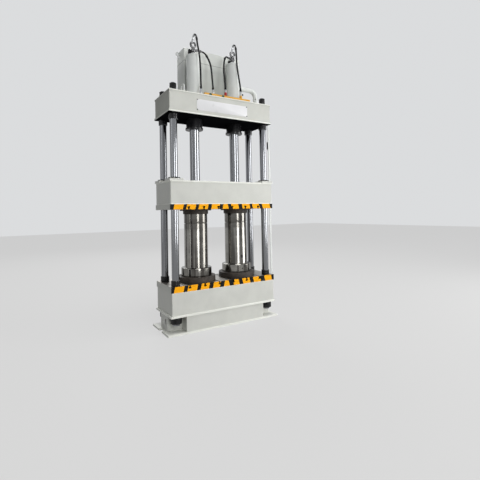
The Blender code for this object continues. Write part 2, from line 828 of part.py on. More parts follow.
def add_port(block, at):
    """A square pad with a shallow round hole, on the flange's front right."""
    outward = Vector((math.sin(PORT_TURN), -math.cos(PORT_TURN), 0))
    across = Vector((math.cos(PORT_TURN), math.sin(PORT_TURN), 0))
    up = Vector((0, 0, 1))
    foot = Vector((*at, BLOCK_BOTTOM + BLOCK_FLANGE_CHAMFER))
    inner = BLOCK_FLANGE_RADIUS - OVERRUN
    outer = BLOCK_FLANGE_RADIUS + PORT_PROUD
    half = PORT_HALF_WIDTH
    square = [(-half, 0), (half, 0), (half, PORT_HEIGHT), (-half, PORT_HEIGHT)]
    near, far = [
        [foot + outward * reach + across * x + up * z for x, z in square] for reach in (inner, outer)
    ]
    weld(block, "port_pad", [loft([near, far])])
    middle = foot + up * PORT_HEIGHT / 2
    bottom = middle + outward * (outer - PORT_HOLE_DEPTH)
    mouth = middle + outward * (outer + OVERRUN)
    cut(block, "port_hole", [rod(bottom, mouth, PORT_HOLE_RADIUS, SMALL_FACETS)])


def make_slide():
    """Slide box with corner plates and guide bushes, its T-slotted plate, and both rams."""
    lip_x = FRAME_HALF_WIDTH + SLIDE_LIP
    lip_y = FRAME_HALF_DEPTH + SLIDE_LIP
    levels = [
        (FRAME_HALF_WIDTH, FRAME_HALF_DEPTH, SLIDE_BOTTOM),
        (FRAME_HALF_WIDTH, FRAME_HALF_DEPTH, SLIDE_TOP - SLIDE_LIP_HEIGHT),
        (lip_x, lip_y, SLIDE_TOP - SLIDE_LIP_HEIGHT),
        (lip_x, lip_y, SLIDE_TOP),
    ]
    frame = make("slide_frame", stacked(levels, FRAME_CORNER), paint())
    corner_top = SLIDE_TOP + CORNER_PLATE_HEIGHT
    plate_levels = [
        (CORNER_PLATE_HALF, CORNER_PLATE_HALF, SLIDE_TOP - WELD_OVERLAP),
        (CORNER_PLATE_HALF, CORNER_PLATE_HALF, corner_top),
    ]
    weld(frame, "corner_plates", [stacked(plate_levels, FRAME_CORNER, at) for at in CORNERS.values()])
    tab_top = SLIDE_TOP - TAB_DOWN
    tab = box(
        (FRAME_HALF_WIDTH - WELD_OVERLAP, POST_Y - TAB_HALF_DEPTH, tab_top - TAB_HEIGHT),
        (FRAME_HALF_WIDTH + TAB_REACH, POST_Y + TAB_HALF_DEPTH, tab_top),
    )
    weld(frame, "switch_tab", [tab])
    lighten(frame, SLIDE_BOTTOM + SLIDE_FLOOR, SLIDE_TOP - SLIDE_ROOF, middle_bays())
    cut(frame, "bush_bores", column_holes(BUSH_RADIUS + SEAT, SLIDE_BOTTOM - OVERRUN, corner_top + OVERRUN))

    plate = slotted_plate(
        "slide_plate",
        FRAME_HALF_WIDTH + TABLE_LIP,
        FRAME_HALF_DEPTH,
        SLIDE_UNDERSIDE,
        SLIDE_BOTTOM - SEAT,
        False,
        machined(),
    )
    holes = column_holes(SLIDE_PLATE_HOLE_RADIUS, SLIDE_UNDERSIDE - OVERRUN, SLIDE_BOTTOM + OVERRUN)
    cut(plate, "column_holes", holes)

    flange_low = corner_top + SEAT
    flange_top = flange_low + BUSH_FLANGE_HEIGHT
    bore = COLUMN_RADIUS + RUNNING
    bush = [
        (bore, SLIDE_BOTTOM),
        (BUSH_RADIUS, SLIDE_BOTTOM),
        (BUSH_RADIUS, flange_low),
        (BUSH_FLANGE_RADIUS, flange_low),
        (BUSH_FLANGE_RADIUS, flange_top),
        (bore, flange_top),
    ]
    made = [frame, plate]
    for corner, at in CORNERS.items():
        solid = turned(bush, COLUMN_FACETS, at, bored=True)
        made.append(make("guide_bush_" + corner, solid, blackened()))

    foot = SLIDE_TOP + SEAT
    piston_low = CROWN_UNDERSIDE + PISTON_BOTTOM_ABOVE_CROWN
    piston = BORE_RADIUS - RUNNING
    ram = [
        (RAM_FOOT_RADIUS, foot),
        (RAM_FOOT_RADIUS, foot + RAM_FOOT_HEIGHT),
        (RAM_RADIUS, foot + RAM_FOOT_HEIGHT),
        (RAM_RADIUS, piston_low),
        (piston, piston_low),
        (piston, piston_low + PISTON_HEIGHT),
    ]
    for side, sign in SIDES.items():
        solid = turned(ram, CYLINDER_FACETS, (sign * CYLINDER_X, 0))
        made.append(make("ram_" + side, solid, chrome()))
    travel = bpy.data.objects.new("slide_travel", None)
    bpy.context.scene.collection.objects.link(travel)
    carried_by(travel, made)
    return made


def make_crown():
    """Crown box with a lip round its top and bottom plates, and the lifting bows on it."""
    low_x = FRAME_HALF_WIDTH + CROWN_LIP
    low_y = FRAME_HALF_DEPTH + CROWN_LIP
    top_x = FRAME_HALF_WIDTH + CROWN_TOP_LIP
    top_y = FRAME_HALF_DEPTH + CROWN_TOP_LIP
    floor_top = CROWN_UNDERSIDE + CROWN_FLOOR
    roof_low = CROWN_TOP - CROWN_ROOF
    levels = [
        (low_x, low_y, CROWN_UNDERSIDE),
        (low_x, low_y, floor_top),
        (FRAME_HALF_WIDTH, FRAME_HALF_DEPTH, floor_top),
        (FRAME_HALF_WIDTH, FRAME_HALF_DEPTH, roof_low),
        (top_x, top_y, roof_low),
        (top_x, top_y, CROWN_TOP),
    ]
    crown = make("crown_frame", stacked(levels, FRAME_CORNER), paint())
    lighten(crown, floor_top, roof_low, middle_bays()[1:2])
    low = CROWN_UNDERSIDE - OVERRUN
    high = CROWN_TOP + OVERRUN
    cut(crown, "stud_holes", column_holes(STUD_RADIUS + SEAT, low, high))
    barrel_hole = BARREL_RADIUS + SEAT
    holes = [
        turned([(barrel_hole, low), (barrel_hole, high)], CYLINDER_FACETS, (sign * CYLINDER_X, 0))
        for sign in SIDES.values()
    ]
    cut(crown, "barrel_holes", holes)
    left = make_bow("lifting_bow_left", (LEFT_BOW_X, LEFT_BOW_Y, ON_CROWN))
    right = make_bow("lifting_bow_right", (RIGHT_BOW_X, RIGHT_BOW_Y, ON_CROWN))
    return [crown, left, right]


def make_bow(name, foot):
    """A bent round bar that stands on two small pads, one behind the other."""
    foot = Vector(foot)
    across = Vector((0, 1, 0))
    up = Vector((0, 0, 1))
    half = BOW_HALF_WIDTH
    top = BOW_HEIGHT - BOW_BAR_RADIUS
    places = [(-half, BOW_PAD_HEIGHT / 2)]
    for side, start in ((-1, math.pi), (1, math.pi / 2)):
        middle = (side * (half - BOW_BEND), top - BOW_BEND)
        for step in range(BEND_STEPS):
            angle = start - math.pi / 2 * step / (BEND_STEPS - 1)
            places.append((middle[0] + BOW_BEND * math.cos(angle), middle[1] + BOW_BEND * math.sin(angle)))
    places.append((half, BOW_PAD_HEIGHT / 2))
    path = [foot + across * x + up * z for x, z in places]
    bow = make(name, swept(path, BOW_BAR_RADIUS, BAR_FACETS), white_paint())
    pad = [(BOW_PAD_RADIUS, foot.z), (BOW_PAD_RADIUS, foot.z + BOW_PAD_HEIGHT)]
    places = [foot - across * half, foot + across * half]
    weld(bow, "pads", [turned(pad, SMALL_FACETS, (place.x, place.y)) for place in places])
    return bow


def make_cylinders():
    """Both barrels, with the gland below, the head and its valve block above, and the fitting."""
    made = []
    gland_top = CROWN_UNDERSIDE - SEAT
    recess = BARREL_RADIUS + SEAT
    rim_top = GLAND_BOTTOM + GLAND_RIM_HEIGHT
    ram_bore = RAM_RADIUS + RUNNING
    barrel = [
        (BORE_RADIUS, BARREL_BOTTOM),
        (BARREL_RADIUS, BARREL_BOTTOM),
        (BARREL_RADIUS, BARREL_TOP),
        (BORE_RADIUS, BARREL_TOP),
    ]
    gland = [
        (ram_bore, GLAND_BOTTOM),
        (GLAND_RIM_RADIUS, GLAND_BOTTOM),
        (GLAND_RIM_RADIUS, rim_top),
        (GLAND_RADIUS, rim_top),
        (GLAND_RADIUS, gland_top),
        (recess, gland_top),
        (recess, rim_top),
        (ram_bore, rim_top),
    ]
    head_top = HEAD_BOTTOM + HEAD_HEIGHT
    boss_top = head_top + HEAD_BOSS_HEIGHT
    head = [
        (HEAD_RADIUS, HEAD_BOTTOM),
        (HEAD_RADIUS, head_top),
        (HEAD_BOSS_RADIUS, head_top),
        (HEAD_BOSS_RADIUS, boss_top),
    ]
    for side, sign in SIDES.items():
        at = (sign * CYLINDER_X, 0)
        made.append(make("barrel_" + side, turned(barrel, CYLINDER_FACETS, at, bored=True), white_paint()))
        made.append(make("gland_" + side, turned(gland, CYLINDER_FACETS, at, bored=True), blackened()))
        lid = make("cylinder_head_" + side, turned(head, CYLINDER_FACETS, at), white_paint())
        valve_x = at[0] - VALVE_OUT
        valve_height = VALVE_HEIGHT_LEFT if side == "left" else VALVE_HEIGHT_RIGHT
        valve_low = (valve_x - VALVE_HALF_WIDTH, -VALVE_HALF_DEPTH, HEAD_BOTTOM + HEAD_HEIGHT / 2)
        valve_high = (valve_x + VALVE_HALF_WIDTH, VALVE_HALF_DEPTH, head_top + valve_height)
        weld(lid, "valve_block", [box(valve_low, valve_high)])
        made.append(lid)
        made.append(make_top_fitting(side, sign, at))
    return made


def make_top_fitting(side, sign, at):
    """Ball union on the head, with a side outlet, an eye above it and the hose socket on top."""
    low = FITTING_BOTTOM
    hex_top = low + FITTING_HEX_HEIGHT
    ball = []
    ball_steps = SMALL_FACETS // 2
    start = math.asin((hex_top - BALL_Z) / BALL_RADIUS)
    end = math.acos(NECK_RADIUS / BALL_RADIUS)
    for step in range(ball_steps + 1):
        angle = start + (end - start) * step / ball_steps
        ball.append((BALL_RADIUS * math.cos(angle), BALL_Z + BALL_RADIUS * math.sin(angle)))
    neck_top = EYE_Z - EYE_RADIUS
    name = "top_fitting_" + side
    hexagon = [(FITTING_HEX_RADIUS, low), (FITTING_HEX_RADIUS, hex_top)]
    stem = turned(hexagon + ball + [(NECK_RADIUS, neck_top)], SMALL_FACETS, at)
    fitting = make(name, stem, plated())
    weld(fitting, "eye", [ring_bar((*at, EYE_Z), EYE_RADIUS, EYE_BAR_RADIUS, (1, 0, 0), (0, 0, 1))])
    bead_low = BEAD_Z - EYE_BAR_RADIUS
    bead_middle = BEAD_Z + BEAD_HEIGHT / 2
    socket = [
        (NECK_RADIUS, bead_low),
        (BEAD_RADIUS, bead_middle),
        (BEAD_RADIUS, bead_middle + BEAD_HEIGHT / 4),
        (NECK_RADIUS, FITTING_TOP),
    ]
    weld(fitting, "hose_socket", [turned(socket, SMALL_FACETS, at)])
    reach = OUTLET_REACH_LEFT if side == "left" else OUTLET_REACH_RIGHT
    outlet_z = BALL_Z + OUTLET_RISE
    root = (at[0], at[1], outlet_z)
    mouth = (at[0] - sign * reach, at[1], outlet_z)
    weld(fitting, "outlet", [rod(root, mouth, OUTLET_RADIUS, SMALL_FACETS)])
    return fitting


def make_tank():
    """Hollow oil tank with its hatch, filler cap and lifting ears."""
    middle = ((TANK_LEFT + TANK_RIGHT) / 2, (TANK_FRONT + TANK_BACK) / 2)
    half_x = (TANK_RIGHT - TANK_LEFT) / 2
    half_y = (TANK_BACK - TANK_FRONT) / 2
    levels = [(half_x, half_y, ON_CROWN), (half_x, half_y, TANK_TOP)]
    tank = make("oil_tank", stacked(levels, TANK_CORNER, middle, CORNER_STEPS), white_paint())
    inner_x = half_x - TANK_WALL
    inner_y = half_y - TANK_WALL
    inside = [(inner_x, inner_y, ON_CROWN + TANK_WALL), (inner_x, inner_y, TANK_TOP - TANK_WALL)]
    cut(tank, "inside", [stacked(inside, TANK_CORNER, middle)])
    hole_x = HATCH_HALF_WIDTH - HATCH_HOLE_MARGIN
    hole_y = HATCH_HALF_DEPTH - HATCH_HOLE_MARGIN
    hatch_at = (HATCH_X, middle[1])
    hole = [(hole_x, hole_y, TANK_TOP - OVERRUN), (hole_x, hole_y, TANK_TOP + OVERRUN)]
    cut(tank, "hatch_hole", [stacked(hole, HATCH_CORNER, hatch_at)])
    ears = []
    for x in (TANK_LEFT, TANK_RIGHT):
        sign = math.copysign(1, x)
        ear = (x + sign * EAR_RADIUS, TANK_BACK - EAR_FORWARD, TANK_TOP - EAR_DOWN)
        ears.append(ring_bar(ear, EAR_RADIUS, EAR_BAR_RADIUS, (1, 0, 0), (0, 0, 1)))
    weld(tank, "lifting_ears", ears)

    lid_low = TANK_TOP + SEAT
    lid_top = lid_low + HATCH_HEIGHT
    lid_levels = [(HATCH_HALF_WIDTH, HATCH_HALF_DEPTH, z) for z in (lid_low, lid_top)]
    lid = stacked(lid_levels, HATCH_CORNER, hatch_at, CORNER_STEPS)
    cap_low = lid_top + SEAT
    cap_top = cap_low + CAP_HEIGHT
    cap = [
        (CAP_RADIUS - CAP_CHAMFER, cap_low),
        (CAP_RADIUS - CAP_CHAMFER, cap_low + CAP_CHAMFER),
        (CAP_RADIUS, cap_low + CAP_CHAMFER * 2),
        (CAP_RADIUS, cap_top - CAP_CHAMFER),
        (CAP_RADIUS - CAP_CHAMFER, cap_top),
    ]
    return [
        tank,
        make("tank_hatch", lid, white_paint()),
        make("filler_cap", turned(cap, EYE_FACETS, (CAP_X, middle[1])), white_paint()),
    ]


def make_return_pipe():
    """Pipe from the right barrel's side, bent down to a flange on the crown."""
    start_x = CYLINDER_X + BORE_RADIUS
    path = [(start_x, 0, PIPE_Z)]
    middle_x = PIPE_DOWN_X - PIPE_BEND
    middle_z = PIPE_Z - PIPE_BEND
    for step in range(BEND_STEPS + 1):
        angle = math.pi / 2 * (1 - step / BEND_STEPS)
        path.append((middle_x + PIPE_BEND * math.cos(angle), 0, middle_z + PIPE_BEND * math.sin(angle)))
    path.append((PIPE_DOWN_X, 0, ON_CROWN + PIPE_FLANGE_HEIGHT / 2))
    pipe = make("return_pipe", swept(path, PIPE_RADIUS, COLUMN_FACETS), white_paint())
    flange = [(PIPE_FLANGE_RADIUS, ON_CROWN), (PIPE_FLANGE_RADIUS, ON_CROWN + PIPE_FLANGE_HEIGHT)]
    weld(pipe, "flange", [turned(flange, COLUMN_FACETS, (PIPE_DOWN_X, 0))])
    saddle = BARREL_RADIUS + SEAT
    low = PIPE_Z - PIPE_RADIUS - OVERRUN
    high = PIPE_Z + PIPE_RADIUS + OVERRUN
    cut(pipe, "saddle", [turned([(saddle, low), (saddle, high)], CYLINDER_FACETS, (CYLINDER_X, 0))])
    return [pipe]


def hose_routes():
    """The middle line of each hose, chosen by hand from its fitting down to its port."""
    left = -CYLINDER_X
    right = CYLINDER_X
    outlet_z = BALL_Z + OUTLET_RISE
    left_outlet = left + OUTLET_REACH_LEFT + SEAT
    right_outlet = right - OUTLET_REACH_RIGHT - SEAT
    top = FITTING_TOP + SEAT
    return {
        "hose_left_outer": [
            (left, 0, top),
            (left, 0, top + 0.012),
            (left + 0.001, -0.007, top + 0.035),
            (left + 0.002, -0.024, top + 0.052),
            (left + 0.004, -0.060, top + 0.058),
            (left + 0.006, -0.093, top + 0.034),
            (left + 0.008, -0.113, 4.120),
            (left + 0.009, -0.130, 4.040),
            (left + 0.010, -0.155, 3.960),
            (left + 0.012, -0.182, 3.870),
            (left + 0.014, -0.200, 3.760),
            (left + 0.018, -0.207, 3.600),
            (left + 0.022, -0.203, 3.450),
            (-0.310, BAR_Y, 3.400),
            (-0.310, BAR_Y, 3.352),
        ],
        "hose_left_inner": [
            (left_outlet, 0, outlet_z),
            (left_outlet + 0.015, 0, outlet_z),
            (-0.150, -0.003, 3.976),
            (-0.118, -0.013, 3.934),
            (-0.092, -0.032, 3.866),
            (-0.081, -0.062, 3.786),
            (-0.086, -0.102, 3.670),
            (-0.103, -0.152, 3.530),
            (-0.117, -0.195, 3.430),
            (-0.118, BAR_Y, 3.385),
            (-0.118, BAR_Y, 3.368),
        ],
        "hose_right_inner": [
            (right_outlet, 0, outlet_z),
            (right_outlet - 0.012, 0, outlet_z),
            (0.224, -0.009, 4.000),
            (0.194, -0.020, 3.974),
            (0.170, -0.038, 3.925),
            (0.145, -0.060, 3.819),
            (0.126, -0.090, 3.714),
            (0.111, -0.140, 3.573),
            (0.091, -0.190, 3.455),
            (0.087, BAR_Y, 3.420),
            (0.087, BAR_Y, 3.402),
        ],
        "hose_right_outer": [
            (right, 0, top),
            (right, 0, top + 0.012),
            (right, -0.007, top + 0.033),
            (right + 0.001, -0.024, top + 0.048),
            (right + 0.002, -0.056, top + 0.050),
            (right + 0.003, -0.086, top + 0.026),
            (right + 0.003, -0.104, 4.110),
            (right + 0.003, -0.115, 4.030),
            (right + 0.003, -0.121, 3.950),
            (right + 0.003, -0.127, 3.870),
            (right + 0.004, -0.145, 3.755),
            (right + 0.007, -0.178, 3.600),
            (0.347, -0.198, 3.480),
            (0.349, BAR_Y, 3.440),
            (0.349, BAR_Y, 3.412),
        ],
    }


def make_hoses():
    """Four rubber hoses, each a round tube along its own route."""
    made = []
    for name, points in hose_routes().items():
        curve = bpy.data.curves.new(name, "CURVE")
        curve.dimensions = "3D"
        curve.bevel_depth = HOSE_RADIUS
        curve.bevel_resolution = HOSE_SIDES
        curve.use_fill_caps = True
        route = smooth_route(points, HOSE_POINTS)
        spline = curve.splines.new("POLY")
        spline.points.add(len(route) - 1)
        for place, point in zip(spline.points, route):
            place.co = (*point, 1)
        curve.materials.append(hose_rubber())
        hose = bpy.data.objects.new(name, curve)
        bpy.context.scene.collection.objects.link(hose)
        made.append(hose)
    return made


def make_distribution_bar():
    """Drilled bar on the crown with an adaptor for each of three hoses, and the fourth's stub."""
    half_depth = BAR_DEPTH / 2
    top = ON_CROWN + BAR_HEIGHT
    section = [
        (BAR_Y - half_depth, ON_CROWN),
        (BAR_Y + half_depth, ON_CROWN),
        (BAR_Y + half_depth, top - BAR_CHAMFER),
        (BAR_Y + half_depth - BAR_CHAMFER, top),
        (BAR_Y - half_depth + BAR_CHAMFER, top),
        (BAR_Y - half_depth, top - BAR_CHAMFER),
    ]
    bar = make("distribution_bar", along_x(section, BAR_LEFT, BAR_RIGHT), yellow_paint())
    routes = hose_routes()
    adaptors = []
    for name in ("hose_left_inner", "hose_right_inner", "hose_right_outer"):
        x, y, z = routes[name][-1]
        adaptor = [(ADAPTOR_RADIUS, top - WELD_OVERLAP), (ADAPTOR_RADIUS, z - SEAT)]
        adaptors.append(turned(adaptor, SMALL_FACETS, (x, y)))
    weld(bar, "adaptors", adaptors)
    x, y, z = routes["hose_left_outer"][-1]
    stub = [
        (STUB_BASE_RADIUS, ON_CROWN),
        (STUB_BASE_RADIUS, ON_CROWN + STUB_BASE_HEIGHT),
        (ADAPTOR_RADIUS, ON_CROWN + STUB_BASE_HEIGHT),
        (ADAPTOR_RADIUS, z - SEAT),
    ]
    return [bar, make("port_stub", turned(stub, SMALL_FACETS, (x, y)), plated())]


def make_switch_post():
    """Upright bar beside the slide, held to the bed and the crown, with a switch on it."""
    inner = FRAME_HALF_WIDTH + POST_GAP
    outer = inner + POST_WIDTH
    front = POST_Y - POST_THICKNESS / 2
    back = POST_Y + POST_THICKNESS / 2
    post = make("switch_post", box((inner, front, POST_BOTTOM), (outer, back, POST_TOP)), white_paint())
    against_frame = FRAME_HALF_WIDTH + SEAT
    half = BRACKET_HALF_DEPTH
    brackets = []
    for low in (POST_BOTTOM + WELD_OVERLAP, POST_TOP - WELD_OVERLAP - BRACKET_HEIGHT):
        low_corner = (against_frame, POST_Y - half, low)
        high_corner = (outer - WELD_OVERLAP, POST_Y + half, low + BRACKET_HEIGHT)
        brackets.append(box(low_corner, high_corner))
    weld(post, "brackets", brackets)

    switch_middle = ((inner + outer) / 2, back + SEAT + SWITCH_DEPTH / 2)
    half_width = POST_WIDTH / 2
    low = SWITCH_Z - SWITCH_HEIGHT / 2
    levels = [(half_width, SWITCH_DEPTH / 2, z) for z in (low, low + SWITCH_HEIGHT)]
    switch = make("proximity_switch", stacked(levels, SWITCH_CORNER, switch_middle), plastic())
    return [post, switch]


def main():
    for old in list(bpy.data.objects):
        bpy.data.objects.remove(old, do_unlink=True)
    make_base_frame()
    make_bed()
    make_columns()
    make_blocks()
    make_slide()
    make_crown()
    make_cylinders()
    make_tank()
    make_return_pipe()
    make_distribution_bar()
    make_hoses()
    make_switch_post()


main()
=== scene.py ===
# %% [markdown]
# # Dressing a four-column hydraulic press
#
# The solids of the press are already built. They say where every piece is and how
# the slide moves. This lesson gives each of them the surface that the real one has: painted
# plate, chromed bar, turned steel, black nuts, rubber hose. It starts with the frame that all
# pieces share, because a piece that is made in the same frame needs no fitting later.

import math

import bmesh
import bpy
import numpy as np
from mathutils import Matrix, Vector


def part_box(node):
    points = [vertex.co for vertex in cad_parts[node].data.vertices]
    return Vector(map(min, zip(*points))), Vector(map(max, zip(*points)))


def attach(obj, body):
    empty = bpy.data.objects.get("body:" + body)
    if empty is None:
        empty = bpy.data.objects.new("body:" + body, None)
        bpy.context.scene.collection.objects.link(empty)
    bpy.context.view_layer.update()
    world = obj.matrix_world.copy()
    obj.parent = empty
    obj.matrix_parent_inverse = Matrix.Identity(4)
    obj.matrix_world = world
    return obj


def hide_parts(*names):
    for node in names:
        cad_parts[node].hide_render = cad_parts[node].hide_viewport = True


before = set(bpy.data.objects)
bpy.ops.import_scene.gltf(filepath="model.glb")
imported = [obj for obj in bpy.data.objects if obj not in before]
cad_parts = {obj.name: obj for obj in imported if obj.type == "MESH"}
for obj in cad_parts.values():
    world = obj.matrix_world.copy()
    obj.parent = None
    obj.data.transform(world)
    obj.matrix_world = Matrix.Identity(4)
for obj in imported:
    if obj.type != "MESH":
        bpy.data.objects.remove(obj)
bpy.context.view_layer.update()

# %% [markdown]
# ## The camera
#
# A photograph can be matched by hand, by turning a camera until things line up, or by solving
# for the camera from points whose real places are known. The second way was used here: the
# columns, the tables and the crown give a dozen corners. The result is a place, three angles, a
# focal length and the point where the optical axis meets the picture.


# %% Camera
def add(name, data):
    """A new object in the scene."""
    made = bpy.data.objects.new(name, data)
    bpy.context.scene.collection.objects.link(made)
    return made


EYE = np.array([-2.469, -4.740, 1.600])
YAW, PITCH, ROLL = np.radians([31.38, 1.545, -1.113])
FOCAL_SHARE = 356.8 / 480
AXIS_ABOVE_MIDDLE_SHARE = 37.5 / 480

ahead = np.array([math.sin(YAW) * math.cos(PITCH), math.cos(YAW) * math.cos(PITCH), math.sin(PITCH)])
level = np.array([math.cos(YAW), -math.sin(YAW), 0.0])
upward = np.cross(level, ahead)
right = math.cos(ROLL) * level + math.sin(ROLL) * upward
top = math.cos(ROLL) * upward - math.sin(ROLL) * level

lens = bpy.data.cameras.new("camera")
lens.sensor_width = 36
lens.lens = lens.sensor_width * FOCAL_SHARE
lens.shift_y = -AXIS_ABOVE_MIDDLE_SHARE
camera = add("camera", lens)
camera.matrix_world = Matrix.Translation(EYE) @ Matrix(np.array([right, top, -ahead]).T).to_4x4()
bpy.context.scene.camera = camera
print("camera at", EYE, "lens", round(lens.lens, 2))

# %% [markdown]
# ## Surfaces from arrays
#
# Every new piece below is a grid of points: rows along one parameter, columns along another.
# A whole grid is worked out at once with array arithmetic. The faces follow from the grid's
# shape alone, so one helper can build any of them. A grid may close on itself round its columns,
# as a turned piece does, and round its rows, as a ring does. An open end gets a flat cap.


def grid_faces(rows, columns, ring, first):
    """Quads between neighbouring rows and columns, numbered from first. Columns wrap round."""
    row = np.arange(rows if ring else rows - 1)[:, None]
    column = np.arange(columns)[None, :]
    beside = (column + 1) % columns
    above = (row + 1) % rows
    corners = [row * columns + column, row * columns + beside, above * columns + beside, above * columns + column]
    return (np.stack(corners, axis=-1).reshape(-1, 4) + first).tolist()


def skin(name, grids, material, stands_for=(), body="press_frame"):
    """One piece from grids of shape (rows, columns, 3), each written as (grid, is it a ring)."""
    points = []
    faces = []
    count = 0
    for grid, ring in grids:
        rows, columns = grid.shape[:2]
        faces += grid_faces(rows, columns, ring, count)
        if not ring:
            faces.append(list(range(count + columns - 1, count - 1, -1)))
            faces.append(list(range(count + (rows - 1) * columns, count + rows * columns)))
        points.append(grid.reshape(-1, 3))
        count += rows * columns
    mesh = bpy.data.meshes.new(name)
    mesh.from_pydata(np.concatenate(points).tolist(), [], faces)
    return place(name, mesh, material, stands_for, body, sharp=32)


def dress(kind, end, grids, material, body="press_frame"):
    """The skin of one solid, whose name is its kind and, where there are more, its side or corner."""
    solid, name = (f"{kind}_{end}", f"{kind}_skin_{end}") if end else (kind, kind + "_skin")
    skin(name, grids, material, [solid], body)


def place(name, mesh, material, stands_for, body, sharp):
    """Turn the faces of a mesh outwards, smooth it, and let it ride on a body of the frame."""
    work = bmesh.new()
    work.from_mesh(mesh)
    bmesh.ops.recalc_face_normals(work, faces=work.faces)
    work.to_mesh(mesh)
    work.free()
    mesh.shade_smooth()
    mesh.set_sharp_from_angle(angle=math.radians(sharp))
    mesh.materials.append(material)
    piece = add(name, mesh)
    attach(piece, body)
    if stands_for:
        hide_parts(*stands_for)
    return piece


# %% Turned profiles
ALONG, BACK, UP = (1, 0, 0), (0, 1, 0), (0, 0, 1)
FORWARD = (0, -1, 0)
TIP = 0.0004  # radius at which the end of a small turned piece gets its flat cap
CORE = 0.0005  # the same for a large one


def soften(profile, width, steps=3):
    """Replace each inner corner of a profile by a curve.

    With corner P and its two neighbours, the curve starts a short way back on the one side, ends
    as far on along the other, and is the quadratic (1-s)^2 A + 2s(1-s) P + s^2 B in between.
    """
    line = np.asarray(profile, float)
    inner = line[1:-1]
    back = line[:-2] - inner
    on = line[2:] - inner
    back_length = np.linalg.norm(back, axis=1, keepdims=True)
    on_length = np.linalg.norm(on, axis=1, keepdims=True)
    reach = np.minimum(width, np.minimum(back_length, on_length) * 0.45)
    start = inner + back / back_length * reach
    end = inner + on / on_length * reach
    s = np.linspace(0, 1, steps + 1)[None, :, None]
    curve = (1 - s) ** 2 * start[:, None] + 2 * s * (1 - s) * inner[:, None] + s**2 * end[:, None]
    return np.concatenate([line[:1], curve.reshape(-1, line.shape[1]), line[-1:]])


def spread(profile, facets, shape):
    """Angles all round, and the profile's radius at each of them, times shape(angle) if given."""
    angle = np.arange(facets) / facets * math.tau
    return angle, profile[:, :1] * (np.ones(facets) if shape is None else shape(angle)[None, :])


def turn(profile, at, facets=64, shape=None):
    """Turn (radius, height) pairs about a vertical axis: x = r cos a, y = r sin a, z = h."""
    profile = np.asarray(profile, float)
    angle, radius = spread(profile, facets, shape)
    height = np.repeat(profile[:, 1:2], facets, axis=1)
    return np.stack([at[0] + radius * np.cos(angle), at[1] + radius * np.sin(angle), height], axis=-1)


def facing(profile, start, direction, facets=32, shape=None):
    """Turn (radius, distance) pairs about any axis: start + d k + r (u cos a + v sin a)."""
    profile = np.asarray(profile, float)
    axis = np.array(direction, float) / np.linalg.norm(direction)
    first = np.cross(axis, [0.0, 0.0, 1.0] if abs(axis[2]) < 0.9 else [1.0, 0.0, 0.0])
    first /= np.linalg.norm(first)
    second = np.cross(axis, first)
    angle, radius = spread(profile, facets, shape)
    circle = np.cos(angle)[:, None] * first + np.sin(angle)[:, None] * second
    return np.array(start, float) + profile[:, 1][:, None, None] * axis + radius[..., None] * circle


def hexagonal(angle):
    """Factor from a circle to the hexagon inside it: cos 30 / cos(angle from the flat's middle)."""
    return math.cos(math.pi / 6) / np.cos((angle % (math.pi / 3)) - math.pi / 6)


def button(radius, height, ease=0.0015):
    """Profile of a round or hexagon head: flat foot, straight side, eased rim, flat top."""
    return soften([(TIP, 0), (radius, 0), (radius, height - ease), (radius - ease, height), (TIP, height)], ease)


def studs(spots, direction, radius, height, facets=24, shape=None):
    """A screw head or plug at each spot, all facing one way."""
    return [(facing(button(radius, height), spot, direction, facets, shape), False) for spot in spots]


def stepped(inside, low, parts, ease=0.003):
    """Softened profile of rounds on each other, from an inner radius and (radius, top) pairs."""
    outline = [(inside, low)]
    for radius, top in parts:
        outline += [(radius, low), (radius, top)]
        low = top
    return soften(outline + [(inside, low)], ease)


def turned(kind, end, outline, at, facets, material, body="press_frame", ring=False):
    """The skin of a solid that is one turned profile."""
    dress(kind, end, [(turn(outline, at, facets), ring)], material, body)


# %% Rings, slabs and bars
LEAST_CORNER = 0.0005


def hoop(middle, radius, bar, first, second, rows=56, columns=18):
    """A ring of round bar: middle + (R + r cos b)(f cos a + s sin a) + r sin b (f x s)."""
    first, second = np.array(first, float), np.array(second, float)
    around = (np.arange(rows) / rows * math.tau)[:, None, None]
    across = (np.arange(columns) / columns * math.tau)[None, :, None]
    outward = first * np.cos(around) + second * np.sin(around)
    normal = np.cross(first, second)
    return np.array(middle) + (radius + bar * np.cos(across)) * outward + bar * np.sin(across) * normal


def rectangle(half, corner, steps=6):
    """Outline of a rectangle round zero: (half - corner) each way, plus corner (cos a, sin a)."""
    angle = (np.arange(4)[:, None] + np.arange(steps + 1) / steps) * math.pi / 2
    side = np.array([(1, 1), (-1, 1), (-1, -1), (1, -1)])[:, None, :]
    arc = corner * np.stack([np.cos(angle), np.sin(angle)], axis=-1)
    return (side * (np.array(half) - corner) + arc).reshape(-1, 2)


def slab(middle, first, second, half, corner, levels, hole=()):
    """A plate with rounded corners: middle + x f + y s + lift (f x s), for each (inset, lift).

    hole goes on with circles, each a (radius, lift), whose points lie at the same angles.
    """
    first, second = np.array(first, float), np.array(second, float)
    rims = [rectangle(np.array(half) - inset, max(corner - inset, LEAST_CORNER)) for inset, _ in levels]
    direction = rims[-1] / np.linalg.norm(rims[-1], axis=1, keepdims=True)
    flat = np.stack(rims + [radius * direction for radius, _ in hole])
    lift = np.array([lift for _, lift in levels] + [lift for _, lift in hole])[:, None, None]
    return np.array(middle) + flat[..., :1] * first + flat[..., 1:] * second + lift * np.cross(first, second)


def eased_levels(height, ease):
    """Levels of a slab whose lower and upper rims are rounded: (inset, lift) from 0 to height."""
    low = [(ease, 0), (ease * 0.3, ease * 0.3), (0, ease)]
    return low + [(inset, height - lift) for inset, lift in reversed(low)]


